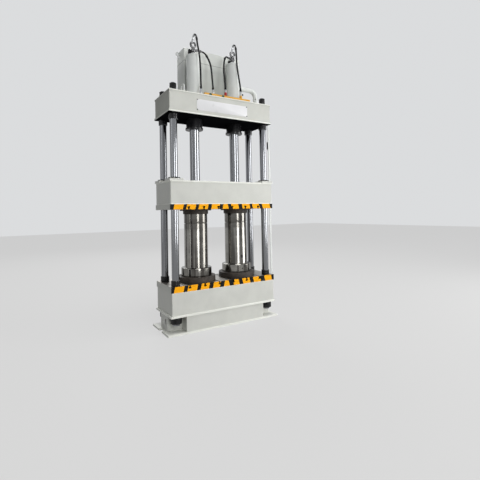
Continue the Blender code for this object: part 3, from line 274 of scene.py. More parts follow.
def along(path, radius, facets=16, closed=False):
    """Carry a circle along a path, which may run back into its own start.

    Each ring stands square to the path. Its first direction is the last ring's, less the part
    that points along the path, so the skin doesn't twist.
    """
    path = np.asarray(path, float)
    radius = np.broadcast_to(radius, len(path))
    ahead = np.roll(path, -1, axis=0) - np.roll(path, 1, axis=0) if closed else np.gradient(path, axis=0)
    ahead /= np.linalg.norm(ahead, axis=1, keepdims=True)
    side = np.cross(ahead[0], [0.36, 0.48, 0.8])
    sides = []
    for direction in ahead:
        side = side - direction * side.dot(direction)
        side /= np.linalg.norm(side)
        sides.append(side)
    sides = np.array(sides)
    across = np.cross(ahead, sides)
    angle = np.arange(facets) / facets * math.tau
    circle = np.cos(angle)[None, :, None] * sides[:, None] + np.sin(angle)[None, :, None] * across[:, None]
    return path[:, None] + radius[:, None, None] * circle


# %% Places of the solids
def middle_of(node):
    """Lowest and highest corner of a solid, and the middle of its plan."""
    low, high = (np.array(corner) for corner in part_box(node))
    return low, high, (low[:2] + high[:2]) / 2


def round_solid(node):
    """Bottom, top, middle of the plan, and radius of an upright round solid."""
    low, high, at = middle_of(node)
    return low[2], high[2], at, (high[0] - low[0]) / 2


# %% [markdown]
# ## Floor and light
#
# The press stood in a shop with daylight from the right and above, so its front is bright, its
# ledges are brighter, and its left end is in half shade. Soft lamps in front, on the right and
# overhead give the same fall of light, and a narrow one on the left draws the bright line that
# each chromed bar shows there. The upright lamps are as tall as the press, because a bar mirrors
# a lamp only at its own height. A wide lamp high up at the back keeps the back from going dull.
# The power is set so that a colour renders about as it is written.
#
# The pale background isn't light: a mix that only camera, glossy and transmission rays see shows
# it to the eye and to the chrome, and the light on things comes from the lamps and a dim sky.


# %% Shader nodes
def wire(tree, start, end):
    tree.links.new(start, end)


def node(tree, kind, **values):
    """A shader node with its inputs set by name or number, and other values by attribute."""
    made = tree.nodes.new(kind)
    for name, value in values.items():
        if name.startswith("in_"):
            key = name[3:]
            made.inputs[int(key) if key.isdigit() else key.replace("_", " ")].default_value = value
        else:
            setattr(made, name, value)
    return made


def calc(tree, kind, *values):
    """The result of one step of arithmetic on numbers or other nodes' results."""
    step = node(tree, "ShaderNodeMath", operation=kind)
    for socket, value in zip(step.inputs, values):
        if isinstance(value, (int, float)):
            socket.default_value = value
        else:
            wire(tree, value, socket)
    return step.outputs[0]


def ramp(tree, value, low, high, at_low, at_high):
    """A number that goes from at_low to at_high while the value goes from low to high."""
    made = node(tree, "ShaderNodeMapRange", in_1=low, in_2=high, in_3=at_low, in_4=at_high)
    wire(tree, value, made.inputs[0])
    return made.outputs["Result"]


def blend(tree, share, first, second):
    """A mix from the first colour to the second. Each is three numbers or a node's result."""
    made = node(tree, "ShaderNodeMix", data_type="RGBA")
    wire(tree, share, made.inputs[0])
    for number, colour in ((6, first), (7, second)):
        if isinstance(colour, tuple):
            made.inputs[number].default_value = (*colour, 1)
        else:
            wire(tree, colour, made.inputs[number])
    return made.outputs[2]


def noise(tree, where, scale, detail, roughness=0.5):
    """Layered noise at a place, about 0.5 on average."""
    made = node(tree, "ShaderNodeTexNoise", in_Scale=scale, in_Detail=detail, in_Roughness=roughness)
    wire(tree, where, made.inputs["Vector"])
    return made.outputs["Fac"]


def seen_directly(tree, share=1.0):
    """share for camera, glossy and transmission rays, and 0 for the light that falls on things."""
    rays = node(tree, "ShaderNodeLightPath").outputs
    mirrored = calc(tree, "MAXIMUM", rays["Is Camera Ray"], rays["Is Glossy Ray"])
    return calc(tree, "MULTIPLY", calc(tree, "MAXIMUM", mirrored, rays["Is Transmission Ray"]), share)


def choose(tree, share, first, second, last):
    """Mix two shaders into the last input."""
    mix = node(tree, "ShaderNodeMixShader")
    for start, end in ((share, mix.inputs[0]), (first, mix.inputs[1]), (second, mix.inputs[2]), (mix.outputs[0], last)):
        wire(tree, start, end)


# %% World
world = bpy.data.worlds.new("pale room")
bpy.context.scene.world = world
world.use_nodes = True
tree = world.node_tree
tree.nodes.clear()
output = node(tree, "ShaderNodeOutputWorld")
backdrop = node(tree, "ShaderNodeBackground", in_Color=(0.71, 0.72, 0.73, 1), in_Strength=1.0)
sky = node(tree, "ShaderNodeBackground", in_Color=(0.95, 0.98, 1.0, 1), in_Strength=0.155)
choose(tree, seen_directly(tree), sky.outputs[0], backdrop.outputs[0], output.inputs["Surface"])
print("world:", world.name)


# %% Lamps
def lamp(name, place_of_lamp, aim, width, height, power):
    """A soft rectangular lamp that looks from one point at another."""
    light = bpy.data.lights.new(name, "AREA")
    light.shape = "RECTANGLE"
    light.size, light.size_y = width, height
    light.energy = power
    look = Vector(aim) - Vector(place_of_lamp)
    turned_to_aim = look.to_track_quat("-Z", "Y").to_matrix().to_4x4()
    add(name, light).matrix_world = Matrix.Translation(place_of_lamp) @ turned_to_aim


LAMPS = [
    ("window light", (6.6, -4.1, 2.7), (0, 0, 1.9), 3.0, 5.0, 370),
    ("front light", (-0.6, -8.0, 2.5), (0, 0, 1.0), 2.0, 4.7, 215),
    ("roof light", (0.6, -4.5, 15.0), (0, 0, 1.0), 6.0, 6.0, 950),
    ("left light", (-6.5, -1.0, 3.3), (0, 0, 2.3), 0.9, 5.8, 25),
    ("back light", (1.5, 9.0, 7.5), (0, 0, 2.0), 5.0, 4.0, 430),
]
for values in LAMPS:
    lamp(*values)
print("lamps:", len(LAMPS))

# %% Floor
FLOOR_REACH = 30.0
floor_mesh = bpy.data.meshes.new("floor")
outline = [(x * FLOOR_REACH, y * FLOOR_REACH, 0) for x, y in ((-1, -1), (1, -1), (1, 1), (-1, 1))]
floor_mesh.from_pydata(outline, [], [(0, 1, 2, 3)])
floor = add("floor", floor_mesh)
floor_paint = bpy.data.materials.new("pale floor")
floor_paint.use_nodes = True
tree = floor_paint.node_tree
matt = tree.nodes["Principled BSDF"]
matt.inputs["Base Color"].default_value = (0.42, 0.42, 0.415, 1)
matt.inputs["Roughness"].default_value = 0.8
pale = node(tree, "ShaderNodeEmission", in_Color=(0.79, 0.79, 0.79, 1), in_Strength=1.0)
surface = tree.nodes["Material Output"].inputs["Surface"]
choose(tree, seen_directly(tree, 0.72), matt.outputs["BSDF"], pale.outputs[0], surface)
floor_mesh.materials.append(floor_paint)
bpy.context.scene.view_settings.view_transform = "Standard"
print("floor:", FLOOR_REACH * 2, "m across")

# %% [markdown]
# ## Finishes
#
# A finish is a base colour that is uneven in the way the real one is, a roughness that changes
# with it, and a fine relief. Noise read from the piece's own coordinates gives all three at a
# real scale, in metres: brushed-on paint clouds over a hand's breadth, dust speckles over a few
# millimetres, turning marks over less than one. A number that doesn't change is set on the
# shader itself.


# %% A painted or bare surface from layered noise
def own_place(tree):
    """The piece's own coordinates, as one place and then as X, Y and Z."""
    where = node(tree, "ShaderNodeTexCoord").outputs["Object"]
    parts = node(tree, "ShaderNodeSeparateXYZ")
    wire(tree, where, parts.inputs[0])
    return where, *parts.outputs


def stretched(tree, where, factors):
    """The same place with each coordinate times its factor, which makes a pattern finer that way."""
    made = node(tree, "ShaderNodeMapping", in_Scale=factors)
    wire(tree, where, made.inputs["Vector"])
    return made.outputs["Vector"]


def cover(made, share, colour):
    """Lay one more colour over a finish, as thick as the share says."""
    base = made.node_tree.nodes["Principled BSDF"].inputs["Base Color"]
    wire(made.node_tree, blend(made.node_tree, share, base.links[0].from_socket, colour), base)


def finish(name, colour, rough, metal=0.0, cloud=0.06, cloud_size=4.0, speck=0.05, speck_size=60.0,
           relief=0.15, relief_size=350.0, relief_height=0.0004, stretch=(1, 1, 1), rough_change=0.08, gleam=0.5):
    """Colour clouded by large noise and specked by fine noise, with roughness following both."""
    made = bpy.data.materials.new(name)
    made.use_nodes = True
    tree = made.node_tree
    shader = tree.nodes["Principled BSDF"].inputs
    shader["Metallic"].default_value = metal
    shader["Specular IOR Level"].default_value = gleam
    where = stretched(tree, own_place(tree)[0], stretch)
    clouds = noise(tree, where, cloud_size, 5.0, 0.6)
    specks = noise(tree, where, speck_size, 3.0, 0.7)
    tint = node(tree, "ShaderNodeValToRGB")
    ends = ((0.30, 1 - cloud * 2.2), (0.68, 1 + cloud))
    for element, (position, share) in zip(tint.color_ramp.elements, ends):
        element.position = position
        element.color = (*(min(1.0, c * share) for c in colour), 1)
    wire(tree, clouds, tint.inputs["Fac"])
    wire(tree, tint.outputs["Color"], shader["Base Color"])
    cover(made, ramp(tree, specks, 0.62, 0.80, 0.0, speck * 4), tuple(c * 0.35 for c in colour))
    wire(tree, ramp(tree, clouds, 0.3, 0.7, rough - rough_change, rough + rough_change), shader["Roughness"])
    bump = node(tree, "ShaderNodeBump", in_Strength=relief, in_Distance=relief_height)
    wire(tree, noise(tree, where, relief_size, 2.0), bump.inputs["Height"])
    wire(tree, bump.outputs["Normal"], shader["Normal"])
    return made


MACHINE_GREY = (0.585, 0.590, 0.550)
white_paint = finish("white paint", (0.66, 0.68, 0.66), 0.36, cloud=0.03, speck=0.02)
# Painted reflection: the chrome's base colour is darker than bright chrome, and its clouds run in upright streaks,
# partly wear and partly a painted reflection of dark surroundings.
hard_chrome = finish("hard chrome", (0.235, 0.24, 0.252), 0.15, 1.0, cloud=0.11, cloud_size=22.0,
                     speck=0.02, relief=0.01, stretch=(1, 1, 0.02), rough_change=0.02)
black_oxide = finish("black oxide", (0.008, 0.008, 0.009), 0.25, cloud=0.2, speck=0.0,
                     relief=0.05, gleam=0.28)
zinc = finish("zinc plate", (0.50, 0.51, 0.52), 0.34, 1.0, cloud=0.10, cloud_size=30.0)
# Painted reflection: the unions' steel is coloured darker than the bright metal, standing in for the dark surroundings
# that it mirrors.
union_steel_with_painted_reflection = finish("union steel with painted reflection", (0.22, 0.22, 0.225), 0.24, 1.0, cloud=0.22, cloud_size=24.0)
mill_scale = finish("mill scale", (0.050, 0.041, 0.034), 0.60, 0.2, cloud=0.3, cloud_size=9.0,
                    speck=0.1, speck_size=45.0, relief=0.4, relief_size=140.0, gleam=0.3)
yellow_paint = finish("yellow paint", (0.66, 0.36, 0.060), 0.45, cloud=0.05, gleam=0.3)
red_paint = finish("red paint", (0.34, 0.015, 0.018), 0.45, cloud=0.08, gleam=0.3)
green_plug = finish("green plug", (0.012, 0.050, 0.022), 0.5, cloud=0.08, gleam=0.2)
rubber = finish("hose rubber", (0.010, 0.010, 0.011), 0.62, cloud=0.15, cloud_size=12.0, speck=0.0,
                gleam=0.2)
black_plastic = finish("black plastic", (0.02, 0.02, 0.023), 0.45, cloud=0.08, gleam=0.3)
plate_white = finish("plate enamel", (0.69, 0.69, 0.70), 0.34, cloud=0.015, speck=0.01)

# %% [markdown]
# ## Chromed columns
#
# A column is ground bar with a hard chrome skin, thinner above the crown's underside, where it
# becomes a stud for the nut. It could be a plain cylinder, but the shoulder and the small
# chamfers at its ends are what catch the light, so it is turned from a softened profile. The
# sizes come from the solid's own box, and the stud's radius from the hole that it fills.

# %% Columns
SIDES = ["left", "right"]
CORNERS = ["front_left", "front_right", "rear_left", "rear_right"]
STUD_RADIUS = 0.033
SHOULDER_UNDER_CROWN = 0.0003
shoulder = middle_of("crown_frame")[0][2] - SHOULDER_UNDER_CROWN
for corner in CORNERS:
    low, high, at, radius = round_solid("column_" + corner)
    outline = [
        (0.004, low + 0.008), (0.010, low), (radius, low), (radius, shoulder),
        (STUD_RADIUS, shoulder), (STUD_RADIUS, high), (0.010, high), (0.004, high - 0.006),
    ]
    turned("column", corner, soften(outline, 0.004), at, 64, hard_chrome)
print("column radius", round(radius, 4), "from", round(low, 3), "to", round(high, 3))

# %% [markdown]
# ## Nuts and collars
#
# The columns are held by round black nuts, which a hook spanner turns by slots cut in their
# rims, and by plain split collars. A slot can be cut from a mesh, but here it is a part of the
# surface's own formula: the radius is a little smaller over a few short stretches of the angle.

# %% Slotted nuts and split collars
COLUMN_BORE = 0.0503
STUD_BORE = STUD_RADIUS + 0.0003
CROWN_COLLAR_RAISED = 0.016  # the real collar's lower edge is this much above the solid's


def notched(count, half_angle, depth_share):
    """Factor for the radius: 1, but less by depth_share within half_angle of count directions."""

    def factor(angle):
        beside = np.abs((angle * count / math.tau + 0.5) % 1 - 0.5) * math.tau / count
        return 1 - depth_share * (np.clip((half_angle - beside) / 0.02, 0, 1))

    return factor


def ring_piece(kind, corner, bore, outside, at, shape=None, body="press_frame"):
    """A bored black piece: its softened outside, closed through a plain bore."""
    outer = soften([(bore, outside[0][1])] + outside + [(bore, outside[-1][1])], 0.004)
    ring = turn(outer, at, 96)
    if shape is not None:
        rim = outer[:, 0] > bore * 1.02
        ring[rim] = turn(outer[rim], at, 96, shape)
    dress(kind, corner, [(ring, True)], black_oxide, body)


for corner in CORNERS:
    low, high, at, radius = round_solid("foot_nut_" + corner)
    outside = [(radius - 0.007, low), (radius, low + 0.007), (radius, high)]
    ring_piece("foot_nut", corner, COLUMN_BORE, outside, at, notched(6, 0.11, 0.09))
    low, high, at, radius = round_solid("crown_nut_" + corner)
    outside = [(radius, low), (radius, high - 0.006), (radius - 0.006, high)]
    ring_piece("crown_nut", corner, STUD_BORE, outside, at, notched(4, 0.12, 0.08))
    for kind, raised in (("bed_collar", 0.0), ("crown_collar", CROWN_COLLAR_RAISED)):
        low, high, at, radius = round_solid(f"{kind}_{corner}")
        low += raised
        groove = (low + high) / 2
        outside = [
            (radius, low), (radius, groove - 0.002), (radius - 0.002, groove), (radius, groove + 0.002), (radius, high)
        ]
        ring_piece(kind, corner, COLUMN_BORE, outside, at)
print("nuts and collars:", 4 * len(CORNERS))

# %% [markdown]
# ## Welded boxes
#
# The base, bed, slide and crown are boxes of thick plate. Their solids already have every wall,
# rib, hole and window, so no new surface is needed. What the solids lack is the small round that
# grinding and paint leave on each edge. A copy of each solid has its loose triangles merged and
# its flat ones joined, and a bevel then rounds the sharp edges alone. Brighter bands of grey along
# the rims and ledges are a painted highlight, where light would catch them, and the crown's
# underside is painted shade, coloured near black. Both are bands of height in the material,
# because the heights are known and no mask has to be painted.


# %% Plate edges
def eased(solid, width, material, body="press_frame"):
    """The solid's skin with its flat triangles joined and its sharp edges rounded by a bevel."""
    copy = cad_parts[solid].data.copy()
    work = bmesh.new()
    work.from_mesh(copy)
    bpy.data.meshes.remove(copy)
    bmesh.ops.remove_doubles(work, verts=work.verts, dist=0.00002)
    bmesh.ops.dissolve_limit(work, angle_limit=math.radians(0.4), verts=work.verts, edges=work.edges)
    clean = bpy.data.meshes.new(solid + "_skin")
    work.to_mesh(clean)
    work.free()
    if "custom_normal" in clean.attributes:
        clean.attributes.remove(clean.attributes["custom_normal"])
    clean.materials.clear()
    piece = place(solid + "_skin", clean, material, [solid], body, sharp=30)
    round_edge = piece.modifiers.new("rounded edge", "BEVEL")
    round_edge.width = width
    round_edge.segments = 2
    round_edge.limit_method = "ANGLE"
    round_edge.angle_limit = math.radians(38)
    round_edge.harden_normals = True


# Painted shade: the crown's underside, which the light doesn't reach, is coloured near black.
PAINTED_UNDERSIDE_SHADE = (0.005, 0.005, 0.006)
# Painted highlight: the grey made brighter on rims and ledges where light catches them.
PAINTED_HIGHLIGHT_GREY = tuple(c * 1.34 for c in MACHINE_GREY)
NO_PAINTED_SHADE = -1.0  # a height below the floor, where nothing is


def box_finish(solid, bands, painted_shade_below, gleam):
    """Machine paint with a painted highlight between given heights, and painted shade, near black, below a given
    height.
    """
    name = "machine paint on " + solid
    made = finish(name, MACHINE_GREY, 0.42, cloud=0.035, speck=0.03, gleam=gleam)
    height = own_place(made.node_tree)[3]
    layers = [((start + end) / 2, (end - start) / 2, PAINTED_HIGHLIGHT_GREY) for start, end in bands]
    layers.append((painted_shade_below - 0.5, 0.5, PAINTED_UNDERSIDE_SHADE))
    for middle, half, colour in layers:
        cover(made, calc(made.node_tree, "COMPARE", height, middle, half), colour)
    return made


# Each row: solid, body, bevel width, heights of the painted highlight bands, height below which the underside is
# painted shade, gleam.
BOXES = [
    ("base_frame", "press_frame", 0.0030, [(0.0, 0.0255)], NO_PAINTED_SHADE, 0.5),
    ("bed_frame", "press_frame", 0.0030, [(0.2313, 0.2570), (0.5520, 0.5570)], NO_PAINTED_SHADE, 0.5),
    ("crown_frame", "press_frame", 0.0030, [(2.9550, 2.9730), (3.2440, 3.2540)], 2.9526, 0.0),
    ("slide_frame", "slide", 0.0026, [(1.7200, 1.7330), (2.0200, 2.0420)], NO_PAINTED_SHADE, 0.4),
]
for solid, body, ease, *paint in BOXES:
    eased(solid, ease, box_finish(solid, *paint), body)
print("welded boxes:", len(BOXES))

# %% [markdown]
# ## Tables with T-slots and warning stripes
#
# Both tables are milled steel. Their ends and backs are painted with the frame, and the front
# edge carries black and yellow fields that were sprayed through a hand-cut mask. A skin of
# stripes over the edge would cover the slots, so the stripes are part of the material. The place
# along X, plus a share of the height whose sign changes at the middle, gives fields that lean
# away from it on both sides. A ramp with hard steps turns that number into black or yellow.

# %% Striped and milled material
BED_FIELDS = [(-0.788, -0.651), (-0.597, -0.454), (-0.402, -0.274), (-0.216, -0.102), (-0.042, 0.036),
              (0.104, 0.202), (0.265, 0.384), (0.452, 0.578), (0.653, 0.781)]
SLIDE_FIELDS = [(-0.777, -0.648), (-0.594, -0.467), (-0.417, -0.276), (-0.223, -0.097), (-0.041, 0.040),
                (0.095, 0.217), (0.279, 0.411), (0.459, 0.581), (0.633, 0.779)]
LEAN_SHARE = 0.24
STRIPE_YELLOW, STRIPE_BLACK = (0.97, 0.42, 0.008, 1), (0.010, 0.010, 0.010, 1)
PAINT_REACH = 0.0012  # how far the paint of an outer face goes in over its eased edge


def table_finish(name, fields, middle_height, half_width, half_depth):
    """Milled steel above and below, paint at the ends and back, striped paint in front."""
    made = finish(name, (0.30, 0.285, 0.26), 0.36, 1.0, cloud=0.16, cloud_size=7.0, speck=0.12,
                  relief=0.25, relief_size=900.0, relief_height=0.0002, stretch=(1, 0.08, 1), gleam=0.1)
    tree = made.node_tree
    where, x, y, z = own_place(tree)
    lift = calc(tree, "MULTIPLY", calc(tree, "SUBTRACT", z, middle_height), LEAN_SHARE)
    waver = calc(tree, "MULTIPLY", calc(tree, "SUBTRACT", noise(tree, where, 38.0, 2.0), 0.5), 0.008)
    leaned = calc(tree, "ADD", calc(tree, "ADD", x, calc(tree, "MULTIPLY", calc(tree, "SIGN", x), lift)), waver)
    stripes = node(tree, "ShaderNodeValToRGB")
    stripes.color_ramp.interpolation = "CONSTANT"
    wire(tree, calc(tree, "ADD", calc(tree, "MULTIPLY", leaned, 0.5), 0.5), stripes.inputs["Fac"])
    edges = [(0.0, STRIPE_BLACK)]
    for start, end in fields:
        edges += [(0.5 + start / 2, STRIPE_YELLOW), (0.5 + end / 2, STRIPE_BLACK)]
    while len(stripes.color_ramp.elements) < len(edges):
        stripes.color_ramp.elements.new(0.5)
    for element, (position, colour) in zip(stripes.color_ramp.elements, edges):
        element.position = position
        element.color = colour

    front = calc(tree, "LESS_THAN", y, -half_depth + PAINT_REACH)
    back = calc(tree, "GREATER_THAN", y, half_depth - PAINT_REACH)
    end = calc(tree, "GREATER_THAN", calc(tree, "ABSOLUTE", x), half_width - PAINT_REACH)
    painted = calc(tree, "MAXIMUM", calc(tree, "MAXIMUM", back, end), front)
    cover(made, painted, MACHINE_GREY)
    cover(made, front, stripes.outputs["Color"])
    wire(tree, calc(tree, "SUBTRACT", 1.0, painted), tree.nodes["Principled BSDF"].inputs["Metallic"])
    return made


for solid, body, fields in (("bed_table", "press_frame", BED_FIELDS), ("slide_plate", "slide", SLIDE_FIELDS)):
    low, high, _ = middle_of(solid)
    eased(solid, 0.0012, table_finish("striped " + solid, fields, (low[2] + high[2]) / 2, high[0], high[1]), body)
print("striped tables: 2, fields:", len(BED_FIELDS), "and", len(SLIDE_FIELDS))

# %% [markdown]
# ## Turned steel blocks
#
# Two heavy turned blocks stand between the tables and hold the slide up while the press is at
# rest. Turning leaves fine rings round them, and the upper part has a darker skin above its
# groove. The upright dark streaks along them are partly stains and scratches from handling and
# partly a painted reflection of dark surroundings, and the steel's base colour is set darker than
# bright steel as a painted reflection too. Bare steel mostly shows the room, so its colour
# matters less than how its roughness and its streaks break the reflection.


# %% Turned steel
def turned_steel(name, dark_above):
    """Bright steel with fine turning rings and a darker zone above a height. Its upright dark streaks are partly stains
    and partly painted reflection, and its dark base colour is a painted reflection of dark surroundings.
    """
    made = finish(name, (0.27, 0.262, 0.242), 0.15, 1.0, cloud=0.10, cloud_size=5.0, speck=0.08,
                  speck_size=40.0, relief=0.05, relief_size=420.0, relief_height=0.0001, stretch=(1, 1, 3))
    tree = made.node_tree
    where, _, _, height = own_place(tree)
    # Upright dark streaks: partly stains, partly a painted reflection of dark surroundings.
    streaks = noise(tree, stretched(tree, where, (13, 13, 0.35)), 1.5, 3.0)
    stains_and_painted_reflection = ramp(tree, streaks, 0.42, 0.58, 0.90, 0.0)
    zone = ramp(tree, height, dark_above - 0.01, dark_above + 0.02, 0.0, 0.62)
    cover(made, calc(tree, "MAXIMUM", stains_and_painted_reflection, zone), (0.070, 0.066, 0.059))
    return made


block_steel = turned_steel("turned steel", 1.36)

# %% Blocks, discs and packing
BLOCK_RADIUS = 0.168
PACKING_RADIUS = 0.180


def block_outline(low, high, rim):
    """Flange, body, groove and top edge, from the solid's height and the flange's radius."""
    body, waist, flange, groove = BLOCK_RADIUS, BLOCK_RADIUS - 0.006, low + 0.118, high - 0.133
    outline = [
        (CORE, low), (rim, low), (rim, flange - 0.008), (rim - 0.008, flange), (body + 0.004, flange),
        (body, flange + 0.006), (body, groove - 0.005), (waist, groove - 0.005), (waist, groove + 0.005),
        (body, groove + 0.005), (body, high), (CORE, high),
    ]
    return soften(outline, 0.003)


for side, way in zip(SIDES, (1, -1)):
    low, high, at, radius = round_solid("block_disc_" + side)
    turned("block_disc", side, stepped(CORE, low, [(radius, high)], 0.006), at, 128, mill_scale)
    low, high, at, rim = round_solid("press_block_left")
    turned("press_block", side, block_outline(low, high, rim), at * way, 128, block_steel)
    low, high, at, radius = round_solid("block_packing_" + side)
    outline = stepped(CORE, low, [(PACKING_RADIUS, high - 0.016), (radius, high)])
    turned("block_packing", side, outline, at, 128, mill_scale)
print("blocks:", len(SIDES))

# %% [markdown]
# ## Rams, guide bushes, glands and barrels
#
# All of these are turned, so all of them are softened profiles round a vertical axis. A piece
# with a hole through it is a ring: its profile closes on itself. The places that move with the
# slide ride on the slide, and the others on the frame.

# %% Rams and bushes
RAM_RADIUS, RAM_FOOT_RADIUS = 0.070, 0.078
BUSH_BORE, BUSH_RADIUS = 0.0504, 0.060
for side in SIDES:
    low, high, at, radius = round_solid("ram_" + side)
    outline = stepped(CORE, low, [(RAM_FOOT_RADIUS, low + 0.016), (RAM_RADIUS, high - 0.085), (radius, high)])
    turned("ram", side, outline, at, 96, hard_chrome, "slide")
for corner in CORNERS:
    low, high, at, radius = round_solid("guide_bush_" + corner)
    flange = high - 0.020
    outside = [(BUSH_RADIUS, low), (BUSH_RADIUS, flange), (radius, flange), (radius, high - 0.005), (0.066, high)]
    ring_piece("guide_bush", corner, BUSH_BORE, outside, at, body="slide")
print("rams:", len(SIDES), "bushes:", len(CORNERS))

# %% Glands, barrels and heads
GLAND_RAISED = 0.030  # the real gland's lower edge is this much above the solid's
GLAND_BORE, GLAND_RADIUS, GLAND_SEAT = 0.0704, 0.118, 0.0983
BARREL_BORE = 0.080
HEAD_RADIUS, BOSS_RADIUS = 0.096, 0.045
HEAD_SCREWS = 8
angle = (np.arange(HEAD_SCREWS) + 0.5) * math.tau / HEAD_SCREWS
for side in SIDES:
    low, high, at, rim = round_solid("gland_" + side)
    low += GLAND_RAISED
    step = low + 0.030
    outline = [
        (GLAND_BORE, low), (rim, low), (rim, step), (GLAND_RADIUS, step),
        (GLAND_RADIUS, high), (GLAND_SEAT, high), (GLAND_SEAT, step), (GLAND_BORE, step),
    ]
    turned("gland", side, soften(outline, 0.003), at, 96, black_oxide, ring=True)
    low, high, at, radius = round_solid("barrel_" + side)
    turned("barrel", side, stepped(BARREL_BORE, low, [(radius, high)]), at, 96, white_paint, ring=True)
    low = middle_of("cylinder_head_" + side)[0][2]
    plate = low + 0.036
    outline = stepped(CORE, low, [(HEAD_RADIUS, plate), (BOSS_RADIUS, low + 0.070)])
    turned("cylinder_head", side, outline, at, 96, white_paint)
    circle = at + 0.076 * np.stack([np.cos(angle), np.sin(angle)], axis=-1)
    spots = np.column_stack([circle, np.full(HEAD_SCREWS, plate)])
    skin("head_screws_" + side, studs(spots, UP, 0.010, 0.009), black_oxide)
print("cylinders:", len(SIDES), "screws on each:", HEAD_SCREWS)

# %% [markdown]
# ## Hydraulic hoses
#
# Each cylinder has two hoses: one from the socket on its top and one from its side outlet. They
# come down in front of the tank to the ports on the crown. A hose is rubber over steel braid. It
# can't turn sharply, so the tight turn at its upper end is a bent steel tube, and the hose proper
# starts where a crimped sleeve joins the two. A curve object with a bevel would draw it as well.
# Here a circle is carried along the points, because the same points also say how long it is.

# %% Routes
ROUTES = {
    "hose_left_outer": (0.165, [
        (-0.333, 0, 4.1395), (-0.333, 0, 4.1515), (-0.332, -0.007, 4.1745), (-0.331, -0.024, 4.1915),
        (-0.329, -0.060, 4.1975), (-0.327, -0.093, 4.1735), (-0.325, -0.113, 4.120), (-0.324, -0.130, 4.040),
        (-0.323, -0.155, 3.960), (-0.321, -0.182, 3.870), (-0.319, -0.200, 3.760), (-0.315, -0.207, 3.600),
        (-0.311, -0.203, 3.450), (-0.310, -0.200, 3.400), (-0.310, -0.200, 3.352)]),
    "hose_left_inner": (0.085, [
        (-0.2017, 0, 3.9872), (-0.1867, 0, 3.9872), (-0.150, -0.003, 3.976), (-0.118, -0.013, 3.934),
        (-0.092, -0.032, 3.866), (-0.081, -0.062, 3.786), (-0.086, -0.102, 3.670), (-0.103, -0.152, 3.530),
        (-0.117, -0.195, 3.430), (-0.118, -0.200, 3.385), (-0.118, -0.200, 3.368)]),
    "hose_right_inner": (0.100, [
        (0.2777, 0, 3.9872), (0.2657, 0, 3.9872), (0.224, -0.009, 4.000), (0.194, -0.020, 3.974),
        (0.170, -0.038, 3.925), (0.145, -0.060, 3.819), (0.126, -0.090, 3.714), (0.111, -0.140, 3.573),
        (0.091, -0.190, 3.455), (0.087, -0.200, 3.420), (0.087, -0.200, 3.402)]),
    "hose_right_outer": (0.150, [
        (0.333, 0, 4.1395), (0.333, 0, 4.1515), (0.333, -0.007, 4.1725), (0.334, -0.024, 4.1875),
        (0.335, -0.056, 4.1895), (0.336, -0.086, 4.1655), (0.336, -0.104, 4.110), (0.336, -0.115, 4.030),
        (0.336, -0.121, 3.950), (0.336, -0.127, 3.870), (0.337, -0.145, 3.755), (0.340, -0.178, 3.600),
        (0.347, -0.198, 3.480), (0.349, -0.200, 3.440), (0.349, -0.200, 3.412)]),
}
HOSE_RADIUS = 0.013


def run_of(line):
    """Distance along a line of points, from 0 at its first."""
    return np.concatenate([[0], np.cumsum(np.linalg.norm(np.diff(line, axis=0), axis=1))])


def evenly(line, count):
    """The same line with count points at equal distances."""
    run = run_of(line)
    return np.stack([np.interp(np.linspace(0, run[-1], count), run, line[:, axis]) for axis in range(3)], axis=1)


def smooth_route(route, count=161, passes=40):
    """Evenly spaced points of a smooth curve through the route.

    Between B and C, with neighbours A and D, the curve is half of
    2B + (C-A)t + (2A-5B+4C-D)t^2 + (3B-A-3C+D)t^3. Each pass then moves every point halfway to
    the middle between its neighbours, which opens the tighter bends a little.
    """
    route = np.array(route, float)
    posts = np.vstack([2 * route[0] - route[1], route, 2 * route[-1] - route[-2]])
    t = np.linspace(0, len(route) - 1, 2000, endpoint=False)
    span = t.astype(int)
    t = (t - span)[:, None]
    a, b, c, d = (posts[span + step] for step in range(4))
    curve = (2 * b + (c - a) * t + (2 * a - 5 * b + 4 * c - d) * t**2 + (3 * b - a - 3 * c + d) * t**3) / 2
    line = evenly(np.vstack([curve, route[-1:]]), count)
    for _ in range(passes):
        line[1:-1] = (line[:-2] + 2 * line[1:-1] + line[2:]) / 4
    return evenly(line, count)


# %% Hoses, bent tubes and crimped sleeves
TUBE_RADIUS = 0.0122


def bar_along(name, path, radius, facets, material, stands_for=()):
    """A piece that is one round bar or tube along a path."""
    return skin(name, [(along(path, radius, facets), False)], material, stands_for)


def sleeve(name, stretch):
    """A crimped sleeve on a stretch of hose: radius 16.5 mm, less 1.3 mm in four pressed rings."""
    line = evenly(stretch, 33)
    share = np.linspace(0, 1, len(line))
    pressed = np.clip(np.sin(share * math.tau * 4) * 3, 0, 1) * 0.0013
    rim = np.clip(np.minimum(share, 1 - share) * 25, 0, 1) * 0.0035
    return bar_along(name, line, HOSE_RADIUS + rim - pressed, 24, black_oxide)


for name, (bent_length, route) in ROUTES.items():
    line = smooth_route(route)
    split = int(np.searchsorted(run_of(line), bent_length))
    bright = split // 2 if name.endswith("outer") else 1
    end = name.removeprefix("hose_")
    bar_along("bent_tube_" + end, line[bright : split + 1], TUBE_RADIUS, 20, black_oxide)
    if bright > 1:
        bar_along("bent_socket_" + end, line[: bright + 1], np.linspace(0.0175, 0.0150, bright + 1), 24, zinc)
    path = evenly(line[split:], 38)
    hose = bar_along(name + "_skin", path, HOSE_RADIUS, 20, rubber, [name])
    upper = sleeve("upper_sleeve_" + end, path[:3])
    lower = sleeve("lower_sleeve_" + end, path[-3:])

# %% [markdown]
# ## Unions on top of the cylinders
#
# A plated union stands on each head: a hexagon, a ball with a plug in its front, a lifting eye
# above it, and a bead-shaped socket for the upper hose. A short outlet leaves the ball sideways
# for the lower hose. All of it is turned or bent from round bar, so profiles turned about an
# upright or a level axis, and one ring, are enough.

